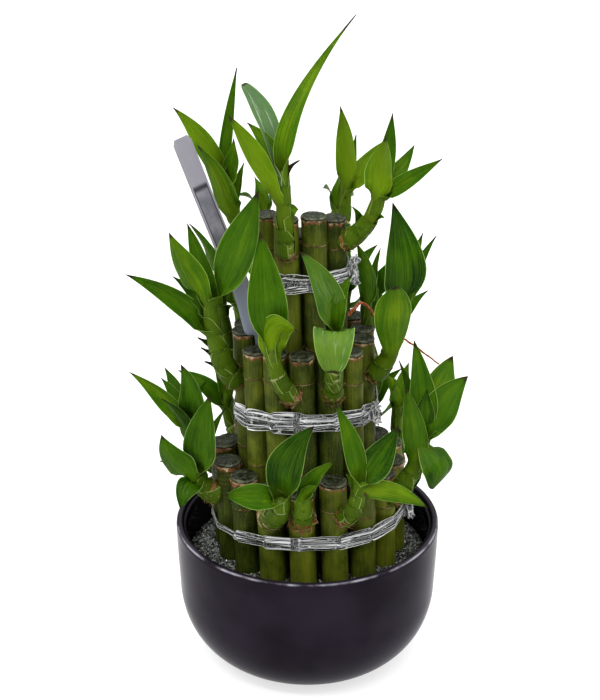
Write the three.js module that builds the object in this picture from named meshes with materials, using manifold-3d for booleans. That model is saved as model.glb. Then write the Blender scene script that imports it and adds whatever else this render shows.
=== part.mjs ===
// A lucky bamboo tower: three tiers of cut canes with leafy shoots, tied with clear film bands and
// standing in crystal gravel in a round glazed bowl.
//
// Millimetres, +Z up. The origin is the middle of the bowl's foot, and the front faces -Y.

import * as THREE from "three";
import { mergeVertices } from "three/addons/utils/BufferGeometryUtils.js";
import Module from "manifold-3d";

const wasm = await Module();
wasm.setup();

// Driving dimensions

const CLEARANCE = 0.3;

const POT = {
  rimRadius: 62.5,
  height: 70,
  footRadius: 28.5,
  bellyHeight: 38,
  bellyRadius: 61.5,
  wall: 4,
  floor: 5,
  segments: 40,
  outsideLevels: [3, 9, 20, 38],
  insideLevels: [38, 20, 12],
  // Rounding of the rim, from outside to inside: how far in and down, in half walls
  lip: [[0, 0.7], [0.6, 0], [1.5, 0], [2, 0.8]],
};

const GRAVEL = {
  depthUnderCanes: 9,
  heightAtWall: 48.5,
  heightAtCanes: 57,
  bundleRadius: 47,
  rippleHeight: 0.6,
  ripples: 9,
  holeOvershoot: 5,
};

// The whole tower leans a little: its middle stands off the bowl's middle and drifts as it rises.
const TOWER = { shift: 1.5, lean: -0.03, leanFrom: 55 };

const CANE_SIDES = 8;
const CANE_FOOT = POT.floor + CLEARANCE + GRAVEL.depthUnderCanes;
// The raised ring of a cane's last node stands below its cut top, by an amount that steps from cane to cane.
const RING = { relief: 0.2, width: 1.3, below: 13, steps: 4 };
const WAX = { height: 1.6, inset: 0.7 };

// A tier is a ring of canes. The bearing of cane 0 is turned from the front towards the right.
// Tops lists the canes cut longer or shorter than the rest of their tier.
const TIERS = {
  core: { count: 1, ring: 0, radius: 7.2, top: 212, bearing: 0, tops: {} },
  inner: { count: 8, ring: 15.6, radius: 5.6, top: 221, bearing: 22,
    tops: { 0: 3.5, 2: -6, 3: -13, 4: -12, 5: -7, 6: 1.5, 7: 2 } },
  middle: { count: 14, ring: 27.1, radius: 5.6, top: 165, bearing: -2.2,
    tops: { 2: -2, 5: 2, 7: -2, 8: 3, 10: 2, 11: 3, 12: -2 } },
  outer: { count: 17, ring: 39.3, radius: 6.3, top: 104, bearing: -4.6,
    tops: { 1: 5, 5: 2, 7: -3, 9: 3, 11: 4, 13: 6, 14: 3.5, 15: 2 } },
};

// A tie's middle line runs at side height, rises by lift where it passes the front, and by pull where
// its knot draws it up at the right. Tail is how high the knot's twisted end reaches above it.
const TIES = {
  tie_lower: { tier: "outer", side: 72.5, lift: 8, pull: 6, height: 8.6, knot: { bearing: 76, tail: 6 } },
  tie_middle: { tier: "middle", side: 127.5, lift: 6.6, pull: 2, height: 9.4, knot: { bearing: 62, tail: 6 } },
  tie_upper: { tier: "inner", side: 193.5, lift: 1.3, pull: 1, height: 8.6, knot: { bearing: 72, tail: 9 } },
};
const TIE = { thickness: 0.9, offCane: 0.4 };
const KNOT = { seat: 2.6, sides: 6, below: 3, above: 2, foot: 2.2, crown: 3, tip: 1.6, tipOut: 2.4, tipAlong: -3 };

// The label's stake stands in the gap between two middle canes, in front of an inner one.
const LABEL = {
  thickness: 0.8,
  width: 8.4,
  stakeWidth: 2,
  turn: 24,
  // Middle line from the stake's end to the top, chosen by hand
  route: [[-21, -8.8, 120], [-21.8, -8.8, 145], [-22.7, -9.4, 165], [-24.7, -10.9, 171.5],
    [-28.6, -11.8, 188], [-35.4, -12.9, 207], [-44.3, -13.9, 232], [-53.3, -14.4, 257.5]],
  stations: 14,
  widenFrom: 0.3,
  widenTo: 0.42,
};

const ROOT = {
  radius: 0.9,
  taper: 0.55,
  sides: 6,
  stations: 14,
  // From its cane over the middle tier and out to its tip, chosen by hand
  route: [[18, -7.9, 175.5], [20.5, -7.2, 178.2], [24.5, -4, 179.6], [29, -1, 174], [33, 2.5, 167],
    [38, 7, 161], [46, 10.5, 155.5], [54, 12.5, 148.5], [61.5, 13.5, 142.5]],
};

const SHOOT = {
  sunk: 2.2,
  sides: 6,
  bow: 0.85,
  climb: 0.25,
  // Stem thickness along its length, as shares of its girth
  stations: [0, 0.16, 0.4, 0.7, 1],
  swelling: [0.95, 1.06, 0.98, 0.88, 0.66],
};

const LEAF = {
  stations: [0, 0.16, 0.38, 0.62, 0.84],
  smallWidth: 6.5,
  smallStations: [0, 0.25, 0.6],
  taper: 0.72,
  baseWidth: 2.8,
  thickness: 1.1,
  fold: 0.16,
  faceTilt: 22,
};

// Shoots that the front shows, chosen by hand.
//   cane: tier and number; height and bearing: where the bud sits on the cane
//   reach: from the bud to the stem's end, as right, back, up; face: bearing that the blades face
//   leaves: along the stem, right, back, up, width, arch, roll, and taper where the tip is drawn out
const SHOOTS = [
  { cane: ["inner", 7], height: 205, bearing: 8, reach: [-2, -6, 41], girth: 3.9, face: -8, leaves: [
    [0.98, 31, 32, 60, 11.5, 12.5, 0, 0.52],
    [0.72, -22, -9, 41, 9.5, 0, 0],
    [0.93, -15, 10, 22, 8, 3, 0],
    [0.96, -17, 26, 33, 10, 5, 0],
    [0.88, 7, -2, 12, 3.4, 2, 0],
    [0.62, 6, 7, 1, 6, 2, 0]] },
  { cane: ["inner", 5], height: 203, bearing: -95, reach: [-17, 0, 31], girth: 3.2, face: -30, leaves: [
    [0.98, -21, 6, 31, 8.5, 3, 0],
    [0.98, 7, 8, 48, 6, 3, 40],
    [0.8, -9, -6, 26, 8, 3, 0],
    [0.9, 5, -2, 23, 9, 2, 0],
    [0.7, 7, 6, 18, 5, 2, 0]] },
  { cane: ["inner", 2], height: 203, bearing: 120, reach: [0, 10, 24], girth: 3.2, face: 20, leaves: [
    [0.95, -1, -3, 39, 9, 3, 0],
    [0.98, 7, 6, 23, 5, 2, 0],
    [0.9, 20, 11, 22, 8, 4, 0]] },
  { cane: ["inner", 1], height: 209, bearing: 30, reach: [16, -3, 25], girth: 4, face: 20, leaves: [
    [0.85, 4, -10, 31, 12.5, 3, 0],
    [0.95, 7, 10, 33, 8, 3, 0],
    [0.95, 17, 14, 18, 8, 3, 0],
    [0.9, 28, -2, 18, 7, 0, -15],
    [0.6, 6, -4, 2, 4, 1, 0],
    [0.45, -5, 1, 9, 3.5, 1, 0]] },
  { cane: ["middle", 11], height: 142, bearing: -60, reach: [-12, -13, 46], girth: 4.6, face: -20, leaves: [
    [0.97, -16, -6, 34, 12, 4, 0],
    [0.9, -10, 11, 37, 10, 4, 0],
    [0.95, 22, -10, 55, 17.5, 3, 0],
    [0.8, -36, -5, 26, 8.5, 4, 0],
    [0.85, -17, 7, 17, 6, 2, 0]] },
  { cane: ["middle", 10], height: 144, bearing: -110, reach: [-10, 2, 41], girth: 3.4, face: -50, leaves: [
    [0.95, -13, 4, 29, 8, 3, 0],
    [0.8, 6, -4, 8, 4, 1, 0],
    [0.7, 5, -4, 6, 4, 1, 0]] },
  { cane: ["middle", 0], height: 145, bearing: -45, reach: [-13, -10, 29], girth: 4.4, face: -10, leaves: [
    [0.97, -3, 6, 50, 18, 5, 0],
    [0.85, 8, -11, 26, 15, 4, 0]] },
  { cane: ["middle", 1], height: 145, bearing: 25, reach: [0, -16, 37], girth: 4.2, face: 5, leaves: [
    [0.97, -15, 2, 37, 12.5, 4, 0],
    [0.97, 7, 4, 26, 8, 3, 0],
    [0.92, -1, -19, -10, 19, 10, 0, 0.95]] },
  { cane: ["middle", 3], height: 146, bearing: 45, reach: [13, -6, 34], girth: 4.6, face: 20, leaves: [
    [0.97, -4, 8, 49, 19.5, 5, 0],
    [0.8, -2, -15, 26, 18, 4, 0],
    [0.95, 16, 11, 34, 6, 3, 0],
    [0.9, 11, 19, 35, 8, 3, 0],
    [0.85, 13, 3, 16, 5, 2, 0]] },
  { cane: ["middle", 4], height: 146, bearing: 95, reach: [-2, 3, 30], girth: 3.2, face: 20, leaves: [
    [0.95, -5, 3, 29, 9, 3, 0],
    [0.95, 5, 5, 14, 7, 2, 0],
    [0.8, 6, 10, 12, 7, 3, 0]] },
  { cane: ["outer", 12], height: 87, bearing: -110, reach: [-15, -11, 28], girth: 3.6, face: -30, leaves: [
    [0.9, -28, 1, 31, 10, 3, 0],
    [0.95, -14, 10, 22, 8, 3, 0],
    [0.95, -13, 18, 24, 9, 3, 0],
    [0.97, -4, 6, 30, 10, 3, 0],
    [0.7, -14, -14, 31, 8, 3, 0],
    [0.97, 8, 2, 23, 6, 2, 0]] },
  { cane: ["outer", 14], height: 90, bearing: -70, reach: [-10, -2, 9], girth: 5.2, face: -15, leaves: [
    [0.97, 4, -6, 45, 15.5, 4, 0],
    [0.95, -16, -4, 25, 12, -3.5, 0],
    [0.95, -10, -12, -9, 11, 4, 0],
    [0.9, -19, 8, 6, 5, 2, 0],
    [0.9, 12, 8, 33, 6, 3, 0]] },
  { cane: ["outer", 16], height: 91.5, bearing: -24, reach: [7, -15, 17], girth: 6, face: -10, leaves: [
    [0.95, -23, -7, 10, 12, 4, 0],
    [0.98, 14, 1, 35, 16.5, 4, 0]] },
  { cane: ["outer", 0], height: 92, bearing: 4, reach: [0, -11, 16], girth: 5.4, face: 0, leaves: [
    [0.95, 14, -6, 23, 7, 3, 0],
    [0.9, 7, -8, 13, 5, 2, 0]] },
  { cane: ["outer", 1], height: 91, bearing: 40, reach: [5, -13, 24], girth: 4.2, face: 10, leaves: [
    [0.98, -8, 4, 38, 9, 3, 0],
    [0.98, 18, 6, 26, 17, 2, 0],
    [0.95, 33, 4, -12, 8.5, 5, 0],
    [0.85, -6, 1, 10, 4, 1, 0]] },
  { cane: ["outer", 3], height: 91, bearing: 25, reach: [16, 4, 28], girth: 4.6, face: 20, leaves: [
    [0.97, -4, 14, 45, 14, 4, 0],
    [0.97, 15, 24, 33, 14, 4, 0],
    [0.95, 21, 12, 29, 16, 4, 0],
    [0.97, 1, -4, 29, 11, 3, 0],
    [0.7, -4, -8, 42, 12, 1, 0],
    [0.85, -10, 12, 41, 7, 3, 0],
    [0.95, 4, -8, -21, 16, 8, 0]] },
  { cane: ["outer", 5], height: 90, bearing: 100, reach: [0, 14, 27], girth: 3.6, face: 40, leaves: [
    [0.95, -6, 0, 18, 9, 3, 0],
    [0.95, 6, 10, 20, 9, 3, 0],
    [0.85, 14, 14, 6, 8, 4, 0]] },
  { cane: ["inner", 3], height: 203, bearing: 150, reach: [9, 12, 11], girth: 3, face: 150, leaves: [
    [0.95, 4, 6, 18, 7, 3, 0],
    [0.9, 8, 16, 2, 8, 4, 0],
    [0.85, -6, 18, 6, 8, 4, 0]] },
  { cane: ["inner", 4], height: 203, bearing: -150, reach: [-10, 10, 9], girth: 3, face: -150, leaves: [
    [0.95, -4, 5, 16, 7, 3, 0],
    [0.9, -14, 10, 6, 8, 4, 0],
    [0.85, 2, 19, 3, 8, 4, 0]] },
];

// Canes of the unseen rear that bear a shoot too. A rule with seeded draws shapes these: a stem
// straight out from the tower, and blades to its left and right in turn. The pairs are the least and
// the most that a draw gives, as shares.
const REAR = {
  seed: 11,
  middle: { canes: [5, 6, 8, 9], below: 19, out: 10, up: 25, blades: 4, length: 29 },
  outer: { canes: [7, 9, 10, 11], below: 15, out: 11, up: 20, blades: 4, length: 30 },
  girth: 3.3,
  outShare: [0.85, 1.15],
  upShare: [0.9, 1.1],
  turnShare: [0.6, 1.2],
  lengthShare: [0.8, 1.15],
  firstLeaf: 0.98,
  lastLeaf: 0.76,
  spread: 34,
  steepest: 72,
  flattest: 14,
  slimness: 0.27,
  archShare: 0.11,
};

// Small helpers

const UP = new THREE.Vector3(0, 0, 1);

/** Horizontal unit vector at a bearing, in degrees from the front towards the right. */
function compass(bearing) {
  const angle = THREE.MathUtils.degToRad(bearing);
  return new THREE.Vector3(Math.sin(angle), -Math.cos(angle), 0);
}

/** The part of a vector square to an axis, at length one. */
function squareTo(vector, axis) {
  return vector.clone().addScaledVector(axis, -vector.dot(axis)).normalize();
}

/** Shares from 0 to 1 in even steps. */
function evenly(steps) {
  return Array.from({ length: steps + 1 }, (_, i) => i / steps);
}

/** Solid from a geometry: only its positions count, with shared corners merged. */
function solidOf(geometry) {
  const bare = geometry.clone();
  bare.deleteAttribute("normal");
  bare.deleteAttribute("uv");
  const merged = mergeVertices(bare, 1e-4);
  return new wasm.Manifold(new wasm.Mesh({
    numProp: 3,
    vertProperties: new Float32Array(merged.attributes.position.array),
    triVerts: new Uint32Array(merged.index.array),
  }));
}

function geometryOf(solid) {
  const { vertProperties, triVerts } = solid.getMesh();
  const geometry = new THREE.BufferGeometry();
  geometry.setAttribute("position", new THREE.BufferAttribute(vertProperties, 3));
  geometry.setIndex(new THREE.BufferAttribute(triVerts, 1));
  geometry.computeVertexNormals();
  return geometry;
}

/** Six times the volume inside the triangles: its sign tells which way they face. */
function signedVolume(points, faces) {
  const cross = new THREE.Vector3();
  return faces.reduce((sum, [a, b, c]) => sum + points[a].dot(cross.crossVectors(points[b], points[c])), 0);
}

/**
 * Skin over sections with the same number of points each. Neighbouring quads are split the other way
 * about, so that both faces of a thin blade are split alike. A tip closes the last section in a point,
 * and a closed loft joins the last section to the first.
 */
function loft(sections, { tip = null, closed = false } = {}) {
  const sides = sections[0].length;
  const points = sections.flat();
  const faces = [];
  const spans = closed ? sections.length : sections.length - 1;
  for (let i = 0; i < spans; i++) {
    const next = (i + 1) % sections.length;
    for (let k = 0; k < sides; k++) {
      const a = i * sides + k;
      const b = i * sides + (k + 1) % sides;
      const c = next * sides + k;
      const d = next * sides + (k + 1) % sides;
      if (k % 2 === 0) faces.push([a, b, d], [a, d, c]);
      else faces.push([a, b, c], [b, d, c]);
    }
  }
  const last = (sections.length - 1) * sides;
  if (!closed) {
    for (let k = 2; k < sides; k++) faces.push([1, (k + 1) % sides, k]);
  }
  if (tip) {
    points.push(tip);
    for (let k = 0; k < sides; k++) faces.push([last + k, last + (k + 1) % sides, points.length - 1]);
  } else if (!closed) {
    for (let k = 2; k < sides; k++) faces.push([last + 1, last + k, last + (k + 1) % sides]);
  }
  const outward = signedVolume(points, faces) > 0;
  const geometry = new THREE.BufferGeometry();
  geometry.setAttribute("position", new THREE.Float32BufferAttribute(points.flatMap((p) => p.toArray()), 3));
  geometry.setIndex(faces.flatMap(([a, b, c]) => (outward ? [a, b, c] : [a, c, b])));
  return geometry;
}

/** Ring of points about a centre, square to an axis, the first towards the start direction. */
function ringOf(centre, axis, start, radius, sides) {
  const first = squareTo(start, axis);
  const second = axis.clone().cross(first);
  return Array.from({ length: sides }, (_, k) => {
    const angle = (k / sides) * Math.PI * 2;
    return centre.clone()
      .addScaledVector(first, radius * Math.cos(angle))
      .addScaledVector(second, radius * Math.sin(angle));
  });
}

// The bowl and its gravel

/** Radius of the bowl's outside at a height: a rounded foot, a quarter round belly, a straight rim. */
function potRadius(z) {
  if (z >= POT.bellyHeight) {
    const rise = (z - POT.bellyHeight) / (POT.height - POT.bellyHeight);
    return THREE.MathUtils.lerp(POT.bellyRadius, POT.rimRadius, Math.sin(rise * Math.PI / 2));
  }
  const below = 1 - z / POT.bellyHeight;
  return POT.footRadius + (POT.bellyRadius - POT.footRadius) * Math.sqrt(1 - below * below);
}

/** Radius of the flat floor inside the bowl. */
function floorRadius() {
  return potRadius(POT.floor + 2) - POT.wall - 2;
}

function lathe(profile) {
  const points = profile.map(([r, z]) => new THREE.Vector2(r, z));
  return new THREE.LatheGeometry(points, POT.segments).rotateX(Math.PI / 2);
}

function potGeometry() {
  const outside = POT.outsideLevels.map((z) => [potRadius(z), z]);
  const inside = POT.insideLevels.map((z) => [potRadius(z) - POT.wall, z]);
  const half = POT.wall / 2;
  const lip = POT.lip.map(([inward, down]) => [POT.rimRadius - half * inward, POT.height - half * down]);
  return lathe([
    [0, 0], [POT.footRadius, 0], ...outside, ...lip, ...inside, [floorRadius(), POT.floor], [0, POT.floor],
  ]);
}

/** Gravel bed: it follows the bowl's inside, with a hole for every cane. */
function gravelGeometry(holes) {
  const inner = (z) => potRadius(z) - POT.wall - 2 * CLEARANCE;
  const foot = POT.floor + CLEARANCE;
  const walls = [...POT.insideLevels].reverse().concat(GRAVEL.heightAtWall).map((z) => [inner(z), z]);
  const bed = lathe([
    [0, foot], [floorRadius() - 1, foot], ...walls,
    [GRAVEL.bundleRadius, GRAVEL.heightAtCanes], [0, GRAVEL.heightAtCanes],
  ]);
  const spot = new THREE.Vector3();
  const positions = bed.attributes.position;
  for (let i = 0; i < positions.count; i++) {
    spot.fromBufferAttribute(positions, i);
    const atWall = Math.abs(spot.z - GRAVEL.heightAtWall) < 0.01;
    const angle = Math.atan2(spot.y, spot.x);
    if (atWall) positions.setZ(i, spot.z + GRAVEL.rippleHeight * Math.sin(angle * GRAVEL.ripples));
  }
  return geometryOf(wasm.Manifold.difference([solidOf(bed), ...holes]));
}

// Canes

/** Middle of the tower at a height. */
function towerMiddle(z) {
  return new THREE.Vector3(TOWER.shift + TOWER.lean * (z - TOWER.leanFrom), 0, z);
}

function caneBearing(tier, number) {
  return TIERS[tier].bearing + (number * 360) / TIERS[tier].count;
}

function caneMiddle(tier, number, z) {
  return towerMiddle(z).addScaledVector(compass(caneBearing(tier, number)), TIERS[tier].ring);
}

function caneTop(tier, number) {
  return TIERS[tier].top + (TIERS[tier].tops[number] ?? 0);
}

function caneSection(tier, number, z, radius) {
  return ringOf(caneMiddle(tier, number, z), UP, compass(caneBearing(tier, number)), radius, CANE_SIDES);
}

/** A cut cane with one node ring and its wax cap. */
function caneSolid(tier, number) {
  const { radius } = TIERS[tier];
  const top = caneTop(tier, number);
  const shoulder = top - WAX.height;
  const ring = top - RING.below - (number * 5) % RING.steps;
  const plain = radius - RING.relief;
  const sections = [[CANE_FOOT, plain], [ring - RING.width, plain], [ring, radius], [shoulder, plain],
    [top, plain - WAX.inset]];
  return solidOf(loft(sections.map(([z, r]) => caneSection(tier, number, z, r))));
}

/** What a cane takes out of the gravel. */
function caneHole(tier, number) {
  const radius = TIERS[tier].radius + CLEARANCE;
  const sections = [CANE_FOOT - CLEARANCE, GRAVEL.heightAtCanes + GRAVEL.holeOvershoot];
  return solidOf(loft(sections.map((z) => caneSection(tier, number, z, radius))));
}

// Shoots

/** Draws between 0 and 1 that come out the same every time. */
function seededDraws(seed) {
  let state = seed;
  return () => {
    state = (Math.imul(state, 1664525) + 1013904223) >>> 0;
    return state / 4294967296;
  };
}

/** The rear's shoots, in the form of the ones chosen by hand. */
function rearShoots() {
  const draw = seededDraws(REAR.seed);
  const vary = ([least, most]) => least + (most - least) * draw();
  return ["middle", "outer"].flatMap((tier) => REAR[tier].canes.map((number) => {
    const { below, out, up, blades, length } = REAR[tier];
    const bearing = caneBearing(tier, number);
    const reach = compass(bearing).multiplyScalar(out * vary(REAR.outShare)).setZ(up * vary(REAR.upShare));
    const leaves = Array.from({ length: blades }, (_, i) => {
      const step = i / (blades - 1);
      const turn = (i % 2 === 0 ? 1 : -1) * REAR.spread * vary(REAR.turnShare);
      const slope = THREE.MathUtils.degToRad(THREE.MathUtils.lerp(REAR.steepest, REAR.flattest, step));
      const long = length * vary(REAR.lengthShare);
      const flat = compass(bearing + turn).multiplyScalar(long * Math.cos(slope));
      const along = THREE.MathUtils.lerp(REAR.firstLeaf, REAR.lastLeaf, step);
      return [along, flat.x, flat.y, long * Math.sin(slope), long * REAR.slimness, long * REAR.archShare, 0];
    });
    const height = caneTop(tier, number) - below;
    return { cane: [tier, number], height, bearing, reach: reach.toArray(), girth: REAR.girth, face: bearing,
      leaves };
  }));
}

/** Width of a blade along its length: clasping base, widest before the middle, drawn-out tip. */
function bladeWidth(t, width, taper) {
  return width * Math.sin(Math.PI * Math.pow(t, taper)) + LEAF.baseWidth * Math.pow(1 - t, 4);
}

function stemCurve(shoot) {
  const [tier, number] = shoot.cane;
  const start = caneMiddle(tier, number, shoot.height)
    .addScaledVector(compass(shoot.bearing), TIERS[tier].radius - SHOOT.sunk);
  const [right, back, up] = shoot.reach;
  const elbow = start.clone().add(new THREE.Vector3(right * SHOOT.bow, back * SHOOT.bow, up * SHOOT.climb));
  const end = start.clone().add(new THREE.Vector3(right, back, up));
  return new THREE.QuadraticBezierCurve3(start, elbow, end);
}

function stemSolid(shoot, curve) {
  const sections = SHOOT.stations.map((t, i) =>
    ringOf(curve.getPoint(t), curve.getTangent(t), compass(shoot.bearing), shoot.girth * SHOOT.swelling[i],
      SHOOT.sides));
  return solidOf(loft(sections));
}

/** Blade of lens section, folded a little along its midrib, arched from the stem to its tip. */
function leafSolid(stem, face, [along, right, back, up, width, arch, roll, taper = LEAF.taper]) {
  const start = stem.getPoint(along);
  const reach = new THREE.Vector3(right, back, up);
  const chord = reach.clone().normalize();
  const tip = start.clone().add(reach);
  const middle = start.clone().addScaledVector(reach, 0.5).addScaledVector(squareTo(UP, chord), 2 * arch);
  const curve = new THREE.QuadraticBezierCurve3(start, middle, tip);
  const facing = face.clone().applyAxisAngle(chord, THREE.MathUtils.degToRad(roll));
  const stations = width < LEAF.smallWidth ? LEAF.smallStations : LEAF.stations;
  const sections = stations.map((t) => {
    const centre = curve.getPoint(t);
    const tangent = curve.getTangent(t);
    const normal = squareTo(facing, tangent);
    const side = tangent.clone().cross(normal);
    const half = bladeWidth(t, width, taper) / 2;
    const thick = LEAF.thickness / 2;
    return [
      centre.clone().addScaledVector(side, -half).addScaledVector(normal, LEAF.fold * half),
      centre.clone().addScaledVector(normal, thick),
      centre.clone().addScaledVector(side, half).addScaledVector(normal, LEAF.fold * half),
      centre.clone().addScaledVector(normal, -thick),
    ];
  });
  return solidOf(loft(sections, { tip }));
}

/** The way a shoot's blades face: towards its bearing and a little up. */
function facingOf(bearing) {
  const tilt = THREE.MathUtils.degToRad(LEAF.faceTilt);
  return compass(bearing).multiplyScalar(Math.cos(tilt)).addScaledVector(UP, Math.sin(tilt));
}

function shootSolids(shoot) {
  const stem = stemCurve(shoot);
  const face = facingOf(shoot.face);
  return [stemSolid(shoot, stem), ...shoot.leaves.map((leaf) => leafSolid(stem, face, leaf))];
}

// Ties

/** Height of a tie's middle line where it passes a bearing. */
function tieHeight(tie, bearing) {
  const front = Math.max(0, Math.cos(THREE.MathUtils.degToRad(bearing)));
  const right = Math.max(0, Math.sin(THREE.MathUtils.degToRad(bearing)));
  return tie.side + tie.lift * Math.pow(front, 1.5) + tie.pull * right * right;
}

/** Band pulled tight round a tier: straight from cane to cane, with a twisted knot at the right. */
function tieGeometry(tie) {
  const { count, ring, radius } = TIERS[tie.tier];
  const step = 180 / count;
  const inner = radius + TIE.offCane;
  const sections = [];
  for (let number = 0; number < count; number++) {
    const bearing = caneBearing(tie.tier, number);
    for (const turn of [-step, 0, step]) {
      const z = tieHeight(tie, bearing);
      const cane = towerMiddle(z).addScaledVector(compass(bearing), ring);
      const outward = compass(bearing + turn);
      const near = cane.clone().addScaledVector(outward, inner);
      const far = cane.clone().addScaledVector(outward, inner + TIE.thickness);
      const low = -tie.height / 2;
      const high = tie.height / 2;
      sections.push([near.clone().setZ(z + low), near.clone().setZ(z + high), far.clone().setZ(z + high),
        far.clone().setZ(z + low)]);
    }
  }
  const band = solidOf(loft(sections, { closed: true }));
  return geometryOf(band.add(knotSolid(tie, ring + radius + KNOT.seat)));
}

/** Twisted knot against a band, its end bent out and along. */
function knotSolid(tie, distance) {
  const { bearing, tail } = tie.knot;
  const outward = compass(bearing);
  const along = compass(bearing + 90);
  const z = tieHeight(tie, bearing);
  const seat = towerMiddle(z).addScaledVector(outward, distance);
  const tip = seat.clone().addScaledVector(outward, KNOT.tipOut).addScaledVector(along, KNOT.tipAlong);
  const rings = [[seat, -KNOT.below, KNOT.foot], [seat, KNOT.above, KNOT.crown], [tip, tail, KNOT.tip]];
  return solidOf(loft(rings.map(([centre, rise, radius]) =>
    ringOf(centre.clone().setZ(z + rise), UP, outward, radius, KNOT.sides))));
}

// The plastic label and the aerial root

function labelGeometry() {
  const curve = new THREE.CatmullRomCurve3(LABEL.route.map((p) => new THREE.Vector3(...p)));
  const side = compass(90 + LABEL.turn).negate();
  return loft(evenly(LABEL.stations).map((t) => {
    const centre = curve.getPoint(t);
    const across = squareTo(side, curve.getTangent(t));
    const normal = curve.getTangent(t).cross(across);
    const spread = THREE.MathUtils.smoothstep(t, LABEL.widenFrom, LABEL.widenTo);
    const half = THREE.MathUtils.lerp(LABEL.stakeWidth, LABEL.width, spread) / 2;
    const thick = LABEL.thickness / 2;
    return [[-half, -thick], [half, -thick], [half, thick], [-half, thick]].map(([u, v]) =>
      centre.clone().addScaledVector(across, u).addScaledVector(normal, v));
  }));
}

function rootGeometry() {
  const curve = new THREE.CatmullRomCurve3(ROOT.route.map((p) => new THREE.Vector3(...p)));
  return loft(evenly(ROOT.stations).map((t) =>
    ringOf(curve.getPoint(t), curve.getTangent(t), UP, ROOT.radius * (1 - ROOT.taper * t), ROOT.sides)));
}

// Finishes

const finish = (color, roughness, metalness = 0) => new THREE.MeshStandardMaterial({ color, roughness, metalness });

const FINISHES = {
  glaze: finish("#14111f", 0.12),
  gravel: finish("#7d7f7c", 0.6),
  cane: finish("#5d7d22", 0.45),
  shoot: finish("#3f8f1c", 0.4),
  film: finish("#c9ccd0", 0.15),
  label: finish("#b9b6c2", 0.35),
  root: finish("#c4622a", 0.5),
};

// Assembly

const plant = new THREE.Group();
plant.name = "lucky_bamboo_tower";

function addPart(name, geometry, material) {
  const mesh = new THREE.Mesh(geometry, material);
  mesh.name = name;
  plant.add(mesh);
}

const canes = Object.entries(TIERS).flatMap(([tier, { count }]) =>
  Array.from({ length: count }, (_, number) => ({ tier, number })));

addPart("pot", potGeometry(), FINISHES.glaze);
addPart("gravel_bed", gravelGeometry(canes.map(({ tier, number }) => caneHole(tier, number))), FINISHES.gravel);

const shoots = [...SHOOTS, ...rearShoots()];
for (const { tier, number } of canes) {
  const grown = shoots.filter((shoot) => shoot.cane[0] === tier && shoot.cane[1] === number);
  const solids = [caneSolid(tier, number), ...grown.flatMap(shootSolids)];
  addPart(`cane_${tier}_${number}`, geometryOf(wasm.Manifold.union(solids)),
    grown.length > 0 ? FINISHES.shoot : FINISHES.cane);
}

for (const [name, tie] of Object.entries(TIES)) {
  addPart(name, tieGeometry(tie), FINISHES.film);
}

addPart("plant_label", labelGeometry(), FINISHES.label);
addPart("aerial_root", rootGeometry(), FINISHES.root);

export default plant;
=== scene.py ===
"""Looks of a lucky bamboo tower: cut canes with leafy shoots, tied with clear film, in a glazed bowl.

Sizes and places are in millimetres as on the solids, and become metres where a mesh is made. +Z is up,
and the front faces -Y. Bearings are degrees from the front towards the right.
"""

import logging
import math
from collections.abc import Callable, Iterable, Sequence
from dataclasses import dataclass, field
from enum import Enum

import bmesh
import bpy
import numpy as np
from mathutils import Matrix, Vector


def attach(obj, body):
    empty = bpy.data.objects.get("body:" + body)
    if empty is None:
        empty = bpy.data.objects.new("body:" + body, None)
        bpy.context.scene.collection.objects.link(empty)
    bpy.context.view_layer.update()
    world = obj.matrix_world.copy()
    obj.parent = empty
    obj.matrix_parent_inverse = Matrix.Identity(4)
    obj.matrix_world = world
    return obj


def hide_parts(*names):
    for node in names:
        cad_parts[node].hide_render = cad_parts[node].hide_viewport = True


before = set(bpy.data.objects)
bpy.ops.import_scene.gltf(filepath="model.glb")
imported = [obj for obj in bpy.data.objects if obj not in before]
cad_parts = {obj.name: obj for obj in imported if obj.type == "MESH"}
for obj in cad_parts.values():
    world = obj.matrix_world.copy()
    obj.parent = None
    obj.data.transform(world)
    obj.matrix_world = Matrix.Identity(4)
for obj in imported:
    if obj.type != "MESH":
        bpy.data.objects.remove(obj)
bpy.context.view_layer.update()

LOG = logging.getLogger("lucky_bamboo")
MM = 0.001
TURN = 2 * math.pi
UP = np.array([0.0, 0.0, 1.0])
# The tower leans left: its middle is TOWER_SHIFT right of the bowl's at the height LEAN_FROM
TOWER_SHIFT = 1.5
TOWER_LEAN = -0.03
LEAN_FROM = 55.0
Colour = tuple[float, float, float]
Sockets = dict[str, bpy.types.NodeSocket]


class Mark(Enum):
    """What a point of a mesh carries for its finish."""

    ALONG = "along"
    ACROSS = "across"
    TONE = "tone"
    DRY = "dry"
    # Share of a blade's skin that carries a painted grey sheen with painted glints
    BLOOM = "bloom"


class Slot(Enum):
    """Material slots of the record."""

    GLAZE = "glaze"
    GRAVEL = "gravel"
    CANE = "cane"
    FOLIAGE = "foliage"
    FILM = "film"
    LABEL = "label"
    ROOT = "root"


# Small helpers

def unit(vector: np.ndarray) -> np.ndarray:
    """Vectors at length one, along the last axis."""
    return vector / np.maximum(np.linalg.norm(vector, axis=-1, keepdims=True), 1e-9)


def square_to(vector: np.ndarray, axis: np.ndarray) -> np.ndarray:
    """The part of vectors square to an axis, at length one."""
    return unit(vector - np.sum(vector * axis, axis=-1, keepdims=True) * axis)


def smooth(start: float, end: float, value: np.ndarray | float) -> np.ndarray:
    """Smooth rise from 0 at start to 1 at end."""
    share = np.clip((np.asarray(value, float) - start) / (end - start), 0, 1)
    return share * share * (3 - 2 * share)


def mix(low: np.ndarray | float, high: np.ndarray | float, share: np.ndarray | float) -> np.ndarray:
    """Blend from low to high."""
    return low + (high - low) * share


def compass(bearing: np.ndarray | float) -> np.ndarray:
    """Horizontal unit vector at a bearing."""
    angle = np.radians(bearing)
    return np.stack([np.sin(angle), -np.cos(angle), np.zeros_like(angle)], axis=-1)


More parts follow.
